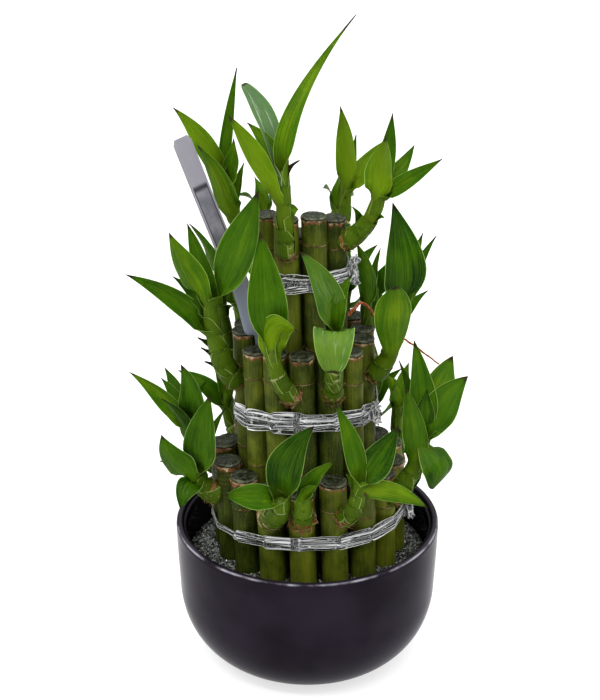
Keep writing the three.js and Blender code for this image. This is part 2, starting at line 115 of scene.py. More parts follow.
def turned(vector: np.ndarray, axis: np.ndarray, degrees: float) -> np.ndarray:
    """Vector turned about an axis.

    Args:
        vector: The vector.
        axis: The axis, at length one.
        degrees: The turn, by the right-hand rule.

    Returns:
        The turned vector.
    """
    angle = math.radians(degrees)
    return (vector * math.cos(angle) + np.cross(axis, vector) * math.sin(angle)
            + axis * np.dot(axis, vector) * (1 - math.cos(angle)))


def tower_middle(z: np.ndarray | float) -> np.ndarray:
    """Middle of the leaning tower at heights."""
    z = np.asarray(z, float)
    return np.stack([TOWER_SHIFT + TOWER_LEAN * (z - LEAN_FROM), np.zeros_like(z), z], axis=-1)


def humps(place: np.ndarray, middles: Sequence[float], width: float, past: float = 0.0) -> np.ndarray:
    """Relief that is 1 at each middle, or as far past it as given, and falls off on both sides."""
    return np.minimum(sum(np.exp(-((place - middle - past) / width) ** 2) for middle in middles), 1)


def angles_round(sides: int) -> np.ndarray:
    """Angles of points spaced evenly round a ring."""
    return np.arange(sides) / sides * TURN


def waves(seed: int, *coordinates: np.ndarray, count: int = 6) -> np.ndarray:
    """Smooth irregular relief between about -1 and 1, as a sum of seeded waves.

    Args:
        seed: Draw of the waves.
        coordinates: Coordinates of the points, about one wave a unit.
        count: How many waves are summed.

    Returns:
        The relief at each point.
    """
    draw = np.random.default_rng(seed)
    total = np.zeros(np.broadcast(*coordinates).shape)
    for _ in range(count):
        way = draw.normal(size=len(coordinates))
        total = total + np.sin(TURN * sum(w * c for w, c in zip(way, coordinates)) + draw.uniform(0, TURN))
    return total / math.sqrt(count)


def through(points: Sequence[Sequence[float]], count: int) -> np.ndarray:
    """Smooth line through points, whose slope at each one follows its neighbours.

    Args:
        points: The points to pass through.
        count: How many points the line gets.

    Returns:
        The line's points, one a row.
    """
    held = np.array(points, float)
    padded = np.vstack([2 * held[0] - held[1], held, 2 * held[-1] - held[-2]])
    place = np.linspace(0, len(held) - 1, count)
    first = np.minimum(place.astype(int), len(held) - 2)
    t = (place - first)[:, None]
    a, b, c, d = (padded[first + k] for k in range(4))
    bend, twist = 2 * a - 5 * b + 4 * c - d, 3 * b - a - 3 * c + d
    return 0.5 * (2 * b + (c - a) * t + bend * t ** 2 + twist * t ** 3)


@dataclass(frozen=True)
class Arc:
    """Quadratic curve with three controls."""

    start: np.ndarray
    elbow: np.ndarray
    end: np.ndarray

    def point(self, t: np.ndarray | float) -> np.ndarray:
        """Points at shares of the curve."""
        t = np.asarray(t, float)[..., None]
        return (1 - t) ** 2 * self.start + 2 * t * (1 - t) * self.elbow + t ** 2 * self.end

    def tangent(self, t: np.ndarray | float) -> np.ndarray:
        """Directions at shares of the curve."""
        t = np.asarray(t, float)[..., None]
        return unit((1 - t) * (self.elbow - self.start) + t * (self.end - self.elbow))

    def length(self) -> float:
        """Length of the curve."""
        points = self.point(np.linspace(0, 1, 33))
        return float(np.linalg.norm(np.diff(points, axis=0), axis=1).sum())


@dataclass
class Skin:
    """Mesh in the making: points in millimetres, faces, finish numbers and marks."""

    name: str
    points: list[np.ndarray] = field(default_factory=list)
    faces: list[list[int]] = field(default_factory=list)
    finishes: list[int] = field(default_factory=list)
    marks: dict[Mark, list[np.ndarray]] = field(default_factory=lambda: {mark: [] for mark in Mark})
    count: int = 0

    def add_points(self, points: np.ndarray, marks: dict[Mark, np.ndarray | float]) -> int:
        """Add points with their marks.

        Args:
            points: One point a row.
            marks: Values for each point, or one for all. Marks left out are 0.

        Returns:
            Number of the first new point.
        """
        first = self.count
        self.points.append(points)
        for mark in Mark:
            values = np.broadcast_to(np.asarray(marks.get(mark, 0.0), float), (len(points),))
            self.marks[mark].append(values)
        self.count += len(points)
        return first

    def add_faces(self, faces: np.ndarray, finish: int = 0) -> None:
        """Add faces by point numbers, all in one finish."""
        self.faces.extend(faces.tolist())
        self.finishes.extend([finish] * len(faces))

    def loft(self, rings: np.ndarray, marks: dict[Mark, np.ndarray | float], finish: int = 0,
             closed: bool = False) -> None:
        """Skin over rings of points: capped at both ends, or joined into a loop.

        Args:
            rings: Rows of points, of shape (rings, points a ring, 3).
            marks: Values that fit the shape (rings, points a ring), or one for all.
            finish: Number of the finish.
            closed: Whether the last ring joins the first.
        """
        rows, sides = rings.shape[:2]
        flat = {mark: np.broadcast_to(np.asarray(value, float), (rows, sides)).reshape(-1)
                for mark, value in marks.items()}
        first = self.add_points(rings.reshape(-1, 3), flat)
        spans = rows if closed else rows - 1
        row, side = np.meshgrid(np.arange(spans), np.arange(sides), indexing="ij")
        beside, after = (side + 1) % sides, (row + 1) % rows
        quads = np.stack([row * sides + side, row * sides + beside, after * sides + beside,
                          after * sides + side], axis=-1).reshape(-1, 4) + first
        self.add_faces(quads, finish)
        if closed:
            return
        for end, way in ((0, -1), (rows - 1, 1)):
            ends = {mark: values.reshape(rows, sides)[end].mean() for mark, values in flat.items()}
            middle = self.add_points(rings[end].mean(axis=0)[None], ends)
            rim = first + end * sides + np.arange(sides)
            fan = np.stack([rim, np.roll(rim, -1), np.full(sides, middle)], axis=-1)
            self.add_faces(fan[:, ::way], finish)

    def dress(self, finishes: Sequence[bpy.types.Material], crease: float = 50.0,
              replaces: Sequence[str] = ()) -> bpy.types.Object:
        """Make the Blender object and fix it to the frame.

        Args:
            finishes: Materials by finish number.
            crease: Angle in degrees above which an edge stays sharp.
            replaces: Solids that the piece stands for.

        Returns:
            The object, riding on the only body.
        """
        mesh = bpy.data.meshes.new(self.name)
        mesh.from_pydata((np.concatenate(self.points) * MM).tolist(), [], self.faces)
        for mark in Mark:
            values = np.concatenate(self.marks[mark]).astype(np.float32)
            mesh.attributes.new(mark.value, "FLOAT", "POINT").data.foreach_set("value", values)
        mesh.polygons.foreach_set("material_index", self.finishes)
        mesh.polygons.foreach_set("use_smooth", [True] * len(mesh.polygons))
        for material in finishes:
            mesh.materials.append(material)
        body = bmesh.new()
        body.from_mesh(mesh)
        bmesh.ops.recalc_face_normals(body, faces=body.faces)
        body.to_mesh(mesh)
        body.free()
        mesh.set_sharp_from_angle(angle=math.radians(crease))
        piece = bpy.data.objects.new(self.name, mesh)
        bpy.context.scene.collection.objects.link(piece)
        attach(piece, "root")
        if replaces:
            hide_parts(*replaces)
        LOG.info("%s: %d faces", self.name, len(mesh.polygons))
        return piece


def rings_about(centres: np.ndarray, axes: np.ndarray, start: np.ndarray, radii: np.ndarray,
                sides: int, rise: np.ndarray | float = 0.0) -> np.ndarray:
    """Rings of points about a line.

    Args:
        centres: Middle of each ring.
        axes: Direction of the line at each ring.
        start: Direction of each ring's first point.
        radii: Radius of each ring, or of each point of each ring.
        sides: Points a ring.
        rise: How far each point stands along the axis from its ring.

    Returns:
        Points of shape (rings, sides, 3).
    """
    first = square_to(np.broadcast_to(start, centres.shape), axes)
    second = np.cross(axes, first)
    angle = angles_round(sides)[:, None]
    radii = np.broadcast_to(np.reshape(radii, (len(centres), -1)), (len(centres), sides))
    rise = np.broadcast_to(rise, (len(centres), sides))
    return (centres[:, None] + radii[..., None] * (first[:, None] * np.cos(angle)
            + second[:, None] * np.sin(angle)) + rise[..., None] * axes[:, None])


# Node trees

@dataclass
class NodePen:
    """Places and links the nodes of one tree."""

    tree: bpy.types.NodeTree

    def add(self, kind: str, inputs: dict | None = None, **settings: object) -> bpy.types.Node:
        """Place a node.

        Args:
            kind: Node type, without the ShaderNode that its name starts with.
            inputs: Values or sockets by input name or number.
            settings: Properties of the node.

        Returns:
            The node.
        """
        node = self.tree.nodes.new("ShaderNode" + kind)
        node.location = (180 * len(self.tree.nodes), 0)
        for name, value in settings.items():
            setattr(node, name, value)
        for key, value in (inputs or {}).items():
            if isinstance(value, bpy.types.NodeSocket):
                self.tree.links.new(value, node.inputs[key])
            else:
                node.inputs[key].default_value = value
        return node

    def mark(self, mark: Mark) -> bpy.types.NodeSocket:
        """Value that the mesh's points carry."""
        return self.add("Attribute", attribute_name=mark.value).outputs["Fac"]

    def place(self) -> bpy.types.NodeSocket:
        """Place on the piece, in metres."""
        return self.add("TexCoord").outputs["Object"]

    def math(self, operation: str, *values: object) -> bpy.types.NodeSocket:
        """Result of a calculation on values or sockets."""
        return self.add("Math", dict(enumerate(values)), operation=operation).outputs[0]

    def plus(self, *values: object) -> bpy.types.NodeSocket:
        """Sum of two values or sockets."""
        return self.math("ADD", *values)

    def times(self, *values: object) -> bpy.types.NodeSocket:
        """Product of two values or sockets."""
        return self.math("MULTIPLY", *values)

    def rise(self, value: bpy.types.NodeSocket, start: float, end: float, low: float = 0.0,
             high: float = 1.0) -> bpy.types.NodeSocket:
        """Smooth rise from low at start to high at end."""
        return self.add("MapRange", {"Value": value, "From Min": start, "From Max": end, "To Min": low,
                                     "To Max": high}, interpolation_type="SMOOTHSTEP").outputs["Result"]

    def blend(self, share: object, first: object, second: object) -> bpy.types.NodeSocket:
        """Colour between two colours or sockets."""
        first, second = ((*c, 1.0) if isinstance(c, tuple) else c for c in (first, second))
        return self.add("Mix", {0: share, 6: first, 7: second}, data_type="RGBA").outputs[2]

    def noise(self, vector: bpy.types.NodeSocket, scale: object, detail: float = 3.0) -> bpy.types.NodeSocket:
        """Cloudy value over coordinates."""
        return self.add("TexNoise", {"Vector": vector, "Scale": scale, "Detail": detail}).outputs["Fac"]

    def squashed(self, vector: bpy.types.NodeSocket, *shares: float) -> bpy.types.NodeSocket:
        """Coordinates times a share of their own along each axis."""
        return self.add("VectorMath", {0: vector, 1: shares}, operation="MULTIPLY").outputs[0]

    def bump(self, height: bpy.types.NodeSocket, depth: float) -> bpy.types.NodeSocket:
        """Normal for a relief as deep as given, in millimetres."""
        return self.add("Bump", {"Height": height, "Distance": depth * MM}).outputs["Normal"]

    def surface(self, inputs: dict[str, object]) -> None:
        """Close a material with its Principled shader."""
        shader = self.add("BsdfPrincipled", inputs)
        self.tree.links.new(shader.outputs[0], self.add("OutputMaterial").inputs[0])


def new_material(name: str) -> tuple[bpy.types.Material, NodePen]:
    """Start a node material.

    Args:
        name: Its name.

    Returns:
        The material, without nodes, and a pen for it.
    """
    material = bpy.data.materials.new(name)
    material.use_nodes = True
    material.node_tree.nodes.clear()
    return material, NodePen(material.node_tree)


@dataclass(frozen=True)
class SharedEffect:
    """Node group that several finishes use.

    Attributes:
        name: The group's name.
        inputs: Names and default values of its inputs.
        outputs: Names of its outputs.
        draw: Function that draws its nodes.
    """

    name: str
    inputs: tuple[tuple[str, float], ...]
    outputs: tuple[str, ...]
    draw: Callable[[NodePen, Sockets], Sockets]

    def tree(self) -> bpy.types.NodeTree:
        """The group, built on its first use.

        Returns:
            The group's node tree.
        """
        found = bpy.data.node_groups.get(self.name)
        if found:
            return found
        tree = bpy.data.node_groups.new(self.name, "ShaderNodeTree")
        for label, value in self.inputs:
            socket = tree.interface.new_socket(label, in_out="INPUT", socket_type="NodeSocketFloat")
            socket.default_value = value
        for label in self.outputs:
            tree.interface.new_socket(label, in_out="OUTPUT", socket_type="NodeSocketFloat")
        start = tree.nodes.new("NodeGroupInput")
        end = tree.nodes.new("NodeGroupOutput")
        results = self.draw(NodePen(tree), {label: start.outputs[label] for label, _ in self.inputs})
        for label, socket in results.items():
            tree.links.new(socket, end.inputs[label])
        return tree

    def place(self, pen: NodePen, **values: object) -> Sockets:
        """Place the group in a finish.

        Args:
            pen: Pen of the material.
            values: Value or socket of each input, in lower case.

        Returns:
            The outputs by name.
        """
        node = pen.add("Group", {label.capitalize(): value for label, value in values.items()},
                       node_tree=self.tree())
        return {label: node.outputs[label] for label in self.outputs}


def draw_streaks(pen: NodePen, given: Sockets) -> Sockets:
    """Streaks along a blade or band, from its own across and along.

    Args:
        pen: Pen of the group.
        given: The group's inputs by name.

    Returns:
        Its outputs by name.
    """
    results = {}
    for label, share, low, high in (("Broad", 0.2, 0.3, 0.7), ("Fine", 1.0, 0.35, 0.65)):
        spot = pen.add("CombineXYZ", {
            0: pen.times(given["Across"], pen.times(given["Count"], share)),
            1: pen.times(given["Along"], given["Stretch"]),
            2: pen.times(given["Seed"], 53.0)}).outputs[0]
        results[label] = pen.rise(pen.noise(spot, 1.0, 2.0), low, high)
    return results


def draw_grain(pen: NodePen, given: Sockets) -> Sockets:
    """Upright grain of an upright piece, from its place.

    Args:
        pen: Pen of the group.
        given: The group's inputs by name.

    Returns:
        Its outputs by name.
    """
    flat = pen.squashed(pen.place(), 1.0, 1.0, 0.05)
    return {"Broad": pen.rise(pen.noise(flat, given["Scale"]), 0.3, 0.7),
            "Fine": pen.rise(pen.noise(flat, pen.times(given["Scale"], 5.0)), 0.35, 0.65)}


def draw_mottle(pen: NodePen, given: Sockets) -> Sockets:
    """Cloudy patches and small specks, from the place on the piece.

    Args:
        pen: Pen of the group.
        given: The group's inputs by name.

    Returns:
        Its outputs by name.
    """
    place = pen.place()
    specks = pen.add("TexVoronoi", {"Vector": place, "Scale": given["Specks"]}).outputs["Distance"]
    return {"Cloud": pen.rise(pen.noise(place, given["Clouds"]), 0.3, 0.7),
            "Specks": pen.rise(specks, 0.3, 0.12)}


STREAKS = SharedEffect(
    "lengthwise_streaks", (("Along", 0), ("Across", 0), ("Seed", 0), ("Count", 20), ("Stretch", 1)),
    ("Broad", "Fine"), draw_streaks)
GRAIN = SharedEffect("upright_grain", (("Scale", 800),), ("Broad", "Fine"), draw_grain)
MOTTLE = SharedEffect("mottle", (("Clouds", 200), ("Specks", 900)), ("Cloud", "Specks"), draw_mottle)


# Finishes

@dataclass(frozen=True)
class Glaze:
    """Glossy near-black glaze with a violet cast, and a pale painted highlight along the rim's crest."""

    deep: Colour = (0.010, 0.0075, 0.0115)
    light: Colour = (0.022, 0.017, 0.026)
    # Colour of the painted highlight along the rim's crest
    edge: Colour = (0.34, 0.33, 0.37)
    sheen: tuple[float, float, float, float] = (0.66, 0.62, 0.72, 1.0)
    roughness: float = 0.07

    def build(self) -> bpy.types.Material:
        """Make the material.

        Returns:
            The material.
        """
        material, pen = new_material("dark_glaze")
        mottle = MOTTLE.place(pen, clouds=28.0, specks=420.0)
        colour = pen.blend(mottle["Cloud"], self.deep, self.light)
        # Painted highlight: a pale line on the rim's crest, broken by noise
        rim_highlight = pen.times(pen.mark(Mark.DRY), pen.rise(pen.noise(pen.place(), 75.0), 0.4, 0.62))
        colour = pen.blend(rim_highlight, colour, self.edge)
        pits = pen.times(mottle["Specks"], pen.rise(pen.noise(pen.place(), 90.0), 0.55, 0.7))
        relief = pen.math("SUBTRACT", mottle["Cloud"], pits)
        pen.surface({"Base Color": colour, "Roughness": pen.rise(mottle["Cloud"], 0, 1, self.roughness, 0.13),
                     "Normal": pen.bump(relief, 0.05), "Specular IOR Level": 0.14,
                     "Specular Tint": self.sheen})
        return material


@dataclass(frozen=True)
class Crystal:
    """Sparkling grains of crushed crystal, each in a tone of its own."""

    dark: Colour = (0.02, 0.024, 0.02)
    light: Colour = (0.36, 0.37, 0.34)
    roughness: float = 0.16

    def build(self) -> bpy.types.Material:
        """Make the material.

        Returns:
            The material.
        """
        material, pen = new_material("gravel_crystal")
        mottle = MOTTLE.place(pen, clouds=700.0, specks=1500.0)
        share = pen.times(pen.mark(Mark.TONE), pen.rise(mottle["Cloud"], 0, 1, 0.7, 1.1))
        colour = pen.blend(share, self.dark, self.light)
        pen.surface({"Base Color": colour, "Roughness": pen.rise(mottle["Cloud"], 0, 1, self.roughness, 0.34),
                     "Normal": pen.bump(mottle["Cloud"], 0.1), "Coat Weight": 0.4})
        return material


@dataclass(frozen=True)
class PaintedGravelShade:
    """Painted shade in dark gaps between the grains, on the gravel's solid."""

    # Colour of the painted shade in the gaps
    dark: Colour = (0.008, 0.010, 0.008)
    light: Colour = (0.12, 0.13, 0.115)

    def build(self) -> bpy.types.Material:
        """Make the material.

        Returns:
            The material.
        """
        material, pen = new_material("gravel_painted_shade")
        cells = pen.add("TexVoronoi", {"Vector": pen.place(), "Scale": 700.0})
        mottle = MOTTLE.place(pen, clouds=300.0, specks=1100.0)
        # Painted shade: dark where the cells meet, between the grains
        share = pen.times(pen.rise(cells.outputs["Distance"], 0.6, 0.1), mottle["Cloud"])
        pen.surface({"Base Color": pen.blend(share, self.dark, self.light),
                     "Roughness": pen.rise(mottle["Specks"], 0, 1, 0.6, 0.3),
                     "Normal": pen.bump(cells.outputs["Distance"], -0.9)})
        return material


@dataclass(frozen=True)
class Bark:
    """Smooth green bark with upright grain, pale node rings and a dried band under the wax."""

    pale: Colour = (0.150, 0.175, 0.016)
    deep: Colour = (0.024, 0.040, 0.005)
    ring: Colour = (0.36, 0.30, 0.16)
    scar: Colour = (0.050, 0.028, 0.010)
    dried: Colour = (0.22, 0.085, 0.045)
    cream: Colour = (0.50, 0.40, 0.26)

    def build(self) -> bpy.types.Material:
        """Make the material.

        Returns:
            The material.
        """
        material, pen = new_material("cane_bark")
        grain = GRAIN.place(pen, scale=420.0)
        mottle = MOTTLE.place(pen, clouds=110.0, specks=1300.0)
        tone = pen.plus(pen.mark(Mark.TONE), pen.rise(mottle["Cloud"], 0, 1, -0.18, 0.18))
        colour = pen.blend(pen.rise(tone, 0, 1), self.pale, self.deep)
        colour = pen.blend(pen.rise(grain["Broad"], 0, 1, 0.0, 0.35), colour, self.deep)
        colour = pen.blend(pen.rise(grain["Fine"], 0.4, 1, 0.0, 0.22), colour, self.pale)
        colour = pen.blend(pen.times(mottle["Specks"], 0.22), colour, self.ring)
        broken = pen.rise(pen.noise(pen.place(), 320.0), 0.4, 0.62, 0.1, 0.85)
        node = pen.mark(Mark.DRY)
        colour = pen.blend(pen.rise(node, 0.02, 0.5, 0.0, 0.75), colour, self.scar)
        colour = pen.blend(pen.times(pen.rise(node, 0.5, 0.95), broken), colour, self.ring)
        rag = pen.noise(pen.squashed(pen.place(), 1.0, 1.0, 0.6), 420.0, 5.0)
        down = pen.math("SUBTRACT", pen.mark(Mark.ALONG), pen.rise(rag, 0.25, 0.75, -0.9, 1.3))
        torn = pen.rise(pen.noise(pen.squashed(pen.place(), 1.0, 1.0, 2.4), 380.0), 0.36, 0.6, 0.25, 0.95)
        colour = pen.blend(pen.times(pen.rise(down, 1.9, 1.2), torn), colour, self.dried)
        colour = pen.blend(pen.times(pen.rise(down, 0.75, 0.45), broken), colour, self.cream)
        height = pen.plus(grain["Fine"], pen.times(grain["Broad"], 0.8))
        pen.surface({"Base Color": colour, "Roughness": pen.rise(grain["Broad"], 0, 1, 0.34, 0.5),
                     "Normal": pen.bump(height, 0.09), "Specular IOR Level": 0.14})
        return material


@dataclass(frozen=True)
class Wax:
    """Dark wax that seals a cut top, with a painted highlight round its edge and painted glints in specks."""

    deep: Colour = (0.008, 0.011, 0.005)
    light: Colour = (0.048, 0.055, 0.032)
    # Colour of the painted highlight round the wax's edge
    edge: Colour = (0.12, 0.125, 0.08)
    # Colour of the painted glints
    painted_glint: Colour = (0.50, 0.53, 0.46)

    def build(self) -> bpy.types.Material:
        """Make the material.

        Returns:
            The material.
        """
        material, pen = new_material("cut_wax")
        mottle = MOTTLE.place(pen, clouds=420.0, specks=1500.0)
        colour = pen.blend(mottle["Cloud"], self.deep, self.light)
        inwards = pen.mark(Mark.ALONG)
        # Painted highlight: a pale band round the cap's edge, broken by cloud
        edge = pen.times(pen.rise(inwards, 0.2, 0.3), pen.rise(inwards, 0.62, 0.48))
        dried = pen.times(edge, pen.rise(mottle["Cloud"], 0, 1, 0.35, 0.9))
        colour = pen.blend(dried, colour, self.edge)
        # Painted glints: pale specks over the wax
        spots = pen.times(mottle["Specks"], pen.rise(pen.noise(pen.place(), 330.0), 0.42, 0.6))
        colour = pen.blend(spots, colour, self.painted_glint)
        pen.surface({"Base Color": colour, "Roughness": pen.rise(mottle["Cloud"], 0, 1, 0.28, 0.5),
                     "Normal": pen.bump(pen.plus(mottle["Cloud"], spots), 0.2),
                     "Specular IOR Level": 0.12})
        return material


@dataclass(frozen=True)
class Blade:
    """Leaf skin: parallel veins, a pale base and margin, a dark dry tip, and where marked a painted grey
    sheen with painted glints.
    """

    bright: Colour = (0.128, 0.212, 0.003)
    middle: Colour = (0.044, 0.115, 0.002)
    deep: Colour = (0.009, 0.038, 0.002)
    base: Colour = (0.075, 0.122, 0.006)
    margin: Colour = (0.30, 0.40, 0.12)
    tip: Colour = (0.035, 0.022, 0.014)
    # Colours of the painted grey sheen and of its painted glints
    bloom: Colour = (0.085, 0.15, 0.075)
    glint: Colour = (0.42, 0.50, 0.40)
    veins: float = 26.0

    def build(self) -> bpy.types.Material:
        """Make the material.

        Returns:
            The material.
        """
        material, pen = new_material("leaf_blade")
        along, tone = pen.mark(Mark.ALONG), pen.mark(Mark.TONE)
        across = pen.mark(Mark.ACROSS)
        streaks = STREAKS.place(pen, along=along, across=across, seed=tone, count=self.veins, stretch=2.4)
        mottle = MOTTLE.place(pen, clouds=70.0, specks=1700.0)
        aside = pen.math("ABSOLUTE", across)
        share = pen.plus(tone, pen.rise(mottle["Cloud"], 0, 1, -0.12, 0.12))
        share = pen.plus(share, pen.rise(streaks["Broad"], 0, 1, -0.10, 0.10))
        share = pen.plus(share, pen.rise(aside, 0.1, 0.95, -0.08, 0.14))
        colour = pen.blend(pen.rise(share, -0.1, 0.55), self.bright, self.middle)
        colour = pen.blend(pen.rise(share, 0.45, 1.1), colour, self.deep)
        colour = pen.blend(pen.rise(streaks["Fine"], 0.3, 1, 0.0, 0.2), colour, self.bright)
        colour = pen.blend(pen.rise(along, 0.22, 0.0, 0.0, 0.7), colour, self.base)
        # Painted sheen: marked blades turn grey-green, with painted glints along their streaks
        glints = pen.times(pen.rise(streaks["Broad"], 0.7, 0.95), pen.rise(streaks["Fine"], 0.4, 0.9))
        colour = pen.blend(pen.mark(Mark.BLOOM), colour, pen.blend(glints, self.bloom, self.glint))
        colour = pen.blend(pen.times(mottle["Specks"], 0.12), colour, self.margin)
        colour = pen.blend(pen.rise(aside, 0.94, 0.99, 0.0, 0.75), colour, self.margin)
        ragged = pen.plus(pen.mark(Mark.DRY), pen.rise(streaks["Fine"], 0, 1, -0.2, 0.2))
        colour = pen.blend(pen.rise(ragged, 0.3, 0.7, 0.0, 0.92), colour, self.tip)
        height = pen.plus(streaks["Fine"], pen.times(streaks["Broad"], 1.4))
        pen.surface({"Base Color": colour, "Roughness": pen.rise(streaks["Fine"], 0, 1, 0.26, 0.42),
                     "Normal": pen.bump(height, 0.1), "Subsurface Weight": 0.1,
                     "Subsurface Radius": (0.4, 1.0, 0.12), "Subsurface Scale": 0.0015,
                     "Specular IOR Level": 0.1})
        return material


@dataclass(frozen=True)
class Stem:
    """Skin of a shoot's stem and of the sheaths round it, with pale rims."""

    bright: Colour = (0.125, 0.185, 0.012)
    deep: Colour = (0.028, 0.060, 0.006)
    rim: Colour = (0.34, 0.38, 0.16)

    def build(self) -> bpy.types.Material:
        """Make the material.

        Returns:
            The material.
        """
        material, pen = new_material("shoot_stem")
        grain = GRAIN.place(pen, scale=380.0)
        mottle = MOTTLE.place(pen, clouds=160.0, specks=1500.0)
        share = pen.plus(pen.mark(Mark.TONE), pen.rise(grain["Broad"], 0, 1, -0.2, 0.2))
        colour = pen.blend(share, self.bright, self.deep)
        colour = pen.blend(pen.rise(grain["Fine"], 0.4, 1, 0.0, 0.2), colour, self.bright)
        colour = pen.blend(pen.times(mottle["Specks"], 0.15), colour, self.rim)
        colour = pen.blend(pen.rise(pen.mark(Mark.DRY), 0.3, 0.95, 0.0, 0.8), colour, self.rim)
        pen.surface({"Base Color": colour, "Roughness": pen.rise(grain["Fine"], 0, 1, 0.28, 0.4),
                     "Normal": pen.bump(grain["Fine"], 0.06), "Subsurface Weight": 0.1,
                     "Subsurface Radius": (0.4, 1.0, 0.12), "Subsurface Scale": 0.0015,
                     "Specular IOR Level": 0.15})
        return material


@dataclass(frozen=True)
class Husk:
    """Papery dried scale round a bud, from cream to orange brown."""

    pale: Colour = (0.42, 0.38, 0.17)
    burnt: Colour = (0.34, 0.105, 0.04)
    gap: Colour = (0.035, 0.022, 0.010)

    def build(self) -> bpy.types.Material:
        """Make the material.

        Returns:
            The material.
        """
        material, pen = new_material("dried_husk")
        grain = GRAIN.place(pen, scale=900.0)
        share = pen.plus(pen.mark(Mark.TONE), pen.rise(grain["Broad"], 0, 1, -0.25, 0.25))
        share = pen.plus(share, pen.rise(pen.mark(Mark.DRY), 0.2, 1.0, 0.0, 0.3))
        colour = pen.blend(share, self.pale, self.burnt)
        colour = pen.blend(pen.rise(grain["Fine"], 0.45, 1.0, 0.0, 0.7), colour, self.gap)
        pen.surface({"Base Color": colour, "Roughness": pen.rise(grain["Fine"], 0, 1, 0.5, 0.75),
                     "Normal": pen.bump(grain["Fine"], 0.12)})
        return material


@dataclass(frozen=True)
class Film:
    """Clear crumpled film: painted highlights on its creases, crumples and edges, over parts that show what
    is behind.
    """

    # Colour of the painted highlights
    painted_highlight: Colour = (0.74, 0.745, 0.75)
    grey: Colour = (0.28, 0.29, 0.30)
    shade: Colour = (0.03, 0.035, 0.03)

    def crease(self, pen: NodePen, value: bpy.types.NodeSocket, width: float) -> bpy.types.NodeSocket:
        """Thin line where a cloudy value passes its middle, as wide as given."""
        return pen.rise(pen.math("ABSOLUTE", pen.math("SUBTRACT", value, 0.5)), width, width * 0.3)

    def build(self) -> bpy.types.Material:
        """Make the material.

        Returns:
            The material.
        """
        material, pen = new_material("clear_film")
        along, across, tone = pen.mark(Mark.ALONG), pen.mark(Mark.ACROSS), pen.mark(Mark.TONE)
        lengthwise = STREAKS.place(pen, along=along, across=across, seed=tone, count=3.4, stretch=6.0)
        folds = STREAKS.place(pen, along=along, across=across, seed=tone, count=1.6, stretch=70.0)
        tiles = STREAKS.place(pen, along=along, across=across, seed=pen.plus(tone, 0.7), count=6.0,
                              stretch=34.0)
        # Painted highlights: lines along the band's edges and creases, and on the crumples marked dry
        edge = pen.rise(pen.math("ABSOLUTE", pen.math("SUBTRACT", across, 0.5)), 0.465, 0.48, 0.0, 0.8)
        painted_crease_highlights = pen.math("MAXIMUM", self.crease(pen, lengthwise["Fine"], 0.2),
                         pen.times(self.crease(pen, folds["Fine"], 0.09), 0.6))
        bright = pen.math("MAXIMUM", pen.math("MAXIMUM", painted_crease_highlights, edge), pen.mark(Mark.DRY))
        patch = pen.rise(tiles["Fine"], 0.7, 0.8, 0.0, 0.5)
        colour = pen.blend(patch, self.shade, self.grey)
        colour = pen.blend(bright, colour, self.painted_highlight)
        alpha = pen.math("MAXIMUM", pen.rise(bright, 0.0, 1.0, 0.3, 0.97), patch)
        pen.surface({"Base Color": colour, "Alpha": alpha,
                     "Roughness": pen.rise(lengthwise["Broad"], 0, 1, 0.10, 0.24),
                     "Normal": pen.bump(pen.plus(lengthwise["Fine"], folds["Broad"]), 0.25)})
        return material


@dataclass(frozen=True)
class LabelPlastic:
    """Pale satin strip with a plain grey panel."""

    pale: Colour = (0.27, 0.26, 0.29)
    stake: Colour = (0.26, 0.29, 0.35)
    panel: Colour = (0.13, 0.13, 0.15)
    border: Colour = (0.035, 0.035, 0.045)

    def build(self) -> bpy.types.Material:
        """Make the material.

        Returns:
            The material.
        """
        material, pen = new_material("label_plastic")
        along, across = pen.mark(Mark.ALONG), pen.math("ABSOLUTE", pen.mark(Mark.ACROSS))
        mottle = MOTTLE.place(pen, clouds=120.0, specks=900.0)
        colour = pen.blend(pen.rise(along, 0.72, 0.5), self.pale, self.stake)
        colour = pen.blend(pen.rise(mottle["Cloud"], 0, 1, 0.0, 0.12), colour, self.panel)
        inside = pen.times(pen.rise(across, 0.80, 0.76),
                           pen.times(pen.rise(along, 0.705, 0.715), pen.rise(along, 0.890, 0.880)))
        core = pen.times(pen.rise(across, 0.70, 0.66),
                         pen.times(pen.rise(along, 0.717, 0.727), pen.rise(along, 0.878, 0.868)))
        colour = pen.blend(inside, colour, self.border)
        colour = pen.blend(core, colour, pen.blend(mottle["Cloud"], self.panel, self.pale))
        pen.surface({"Base Color": colour, "Roughness": pen.rise(mottle["Cloud"], 0, 1, 0.28, 0.42),
                     "Normal": pen.bump(mottle["Cloud"], 0.04)})
        return material


@dataclass(frozen=True)
class RootBark:
    """Dry orange skin of an aerial root, cracked across."""

    bright: Colour = (0.38, 0.105, 0.022)
    dark: Colour = (0.12, 0.036, 0.014)

    def build(self) -> bpy.types.Material:
        """Make the material.

        Returns:
            The material.
        """
        material, pen = new_material("aerial_root")
        along = pen.mark(Mark.ALONG)
        mottle = MOTTLE.place(pen, clouds=600.0, specks=1600.0)
        bands = pen.math("SINE", pen.times(along, 190.0))
        share = pen.plus(pen.rise(mottle["Cloud"], 0, 1, 0.0, 0.5), pen.rise(bands, 0.4, 1, 0.0, 0.3))
        pen.surface({"Base Color": pen.blend(share, self.bright, self.dark),
                     "Roughness": pen.rise(mottle["Cloud"], 0, 1, 0.45, 0.7),
                     "Normal": pen.bump(pen.plus(bands, mottle["Cloud"]), 0.12)})
        return material


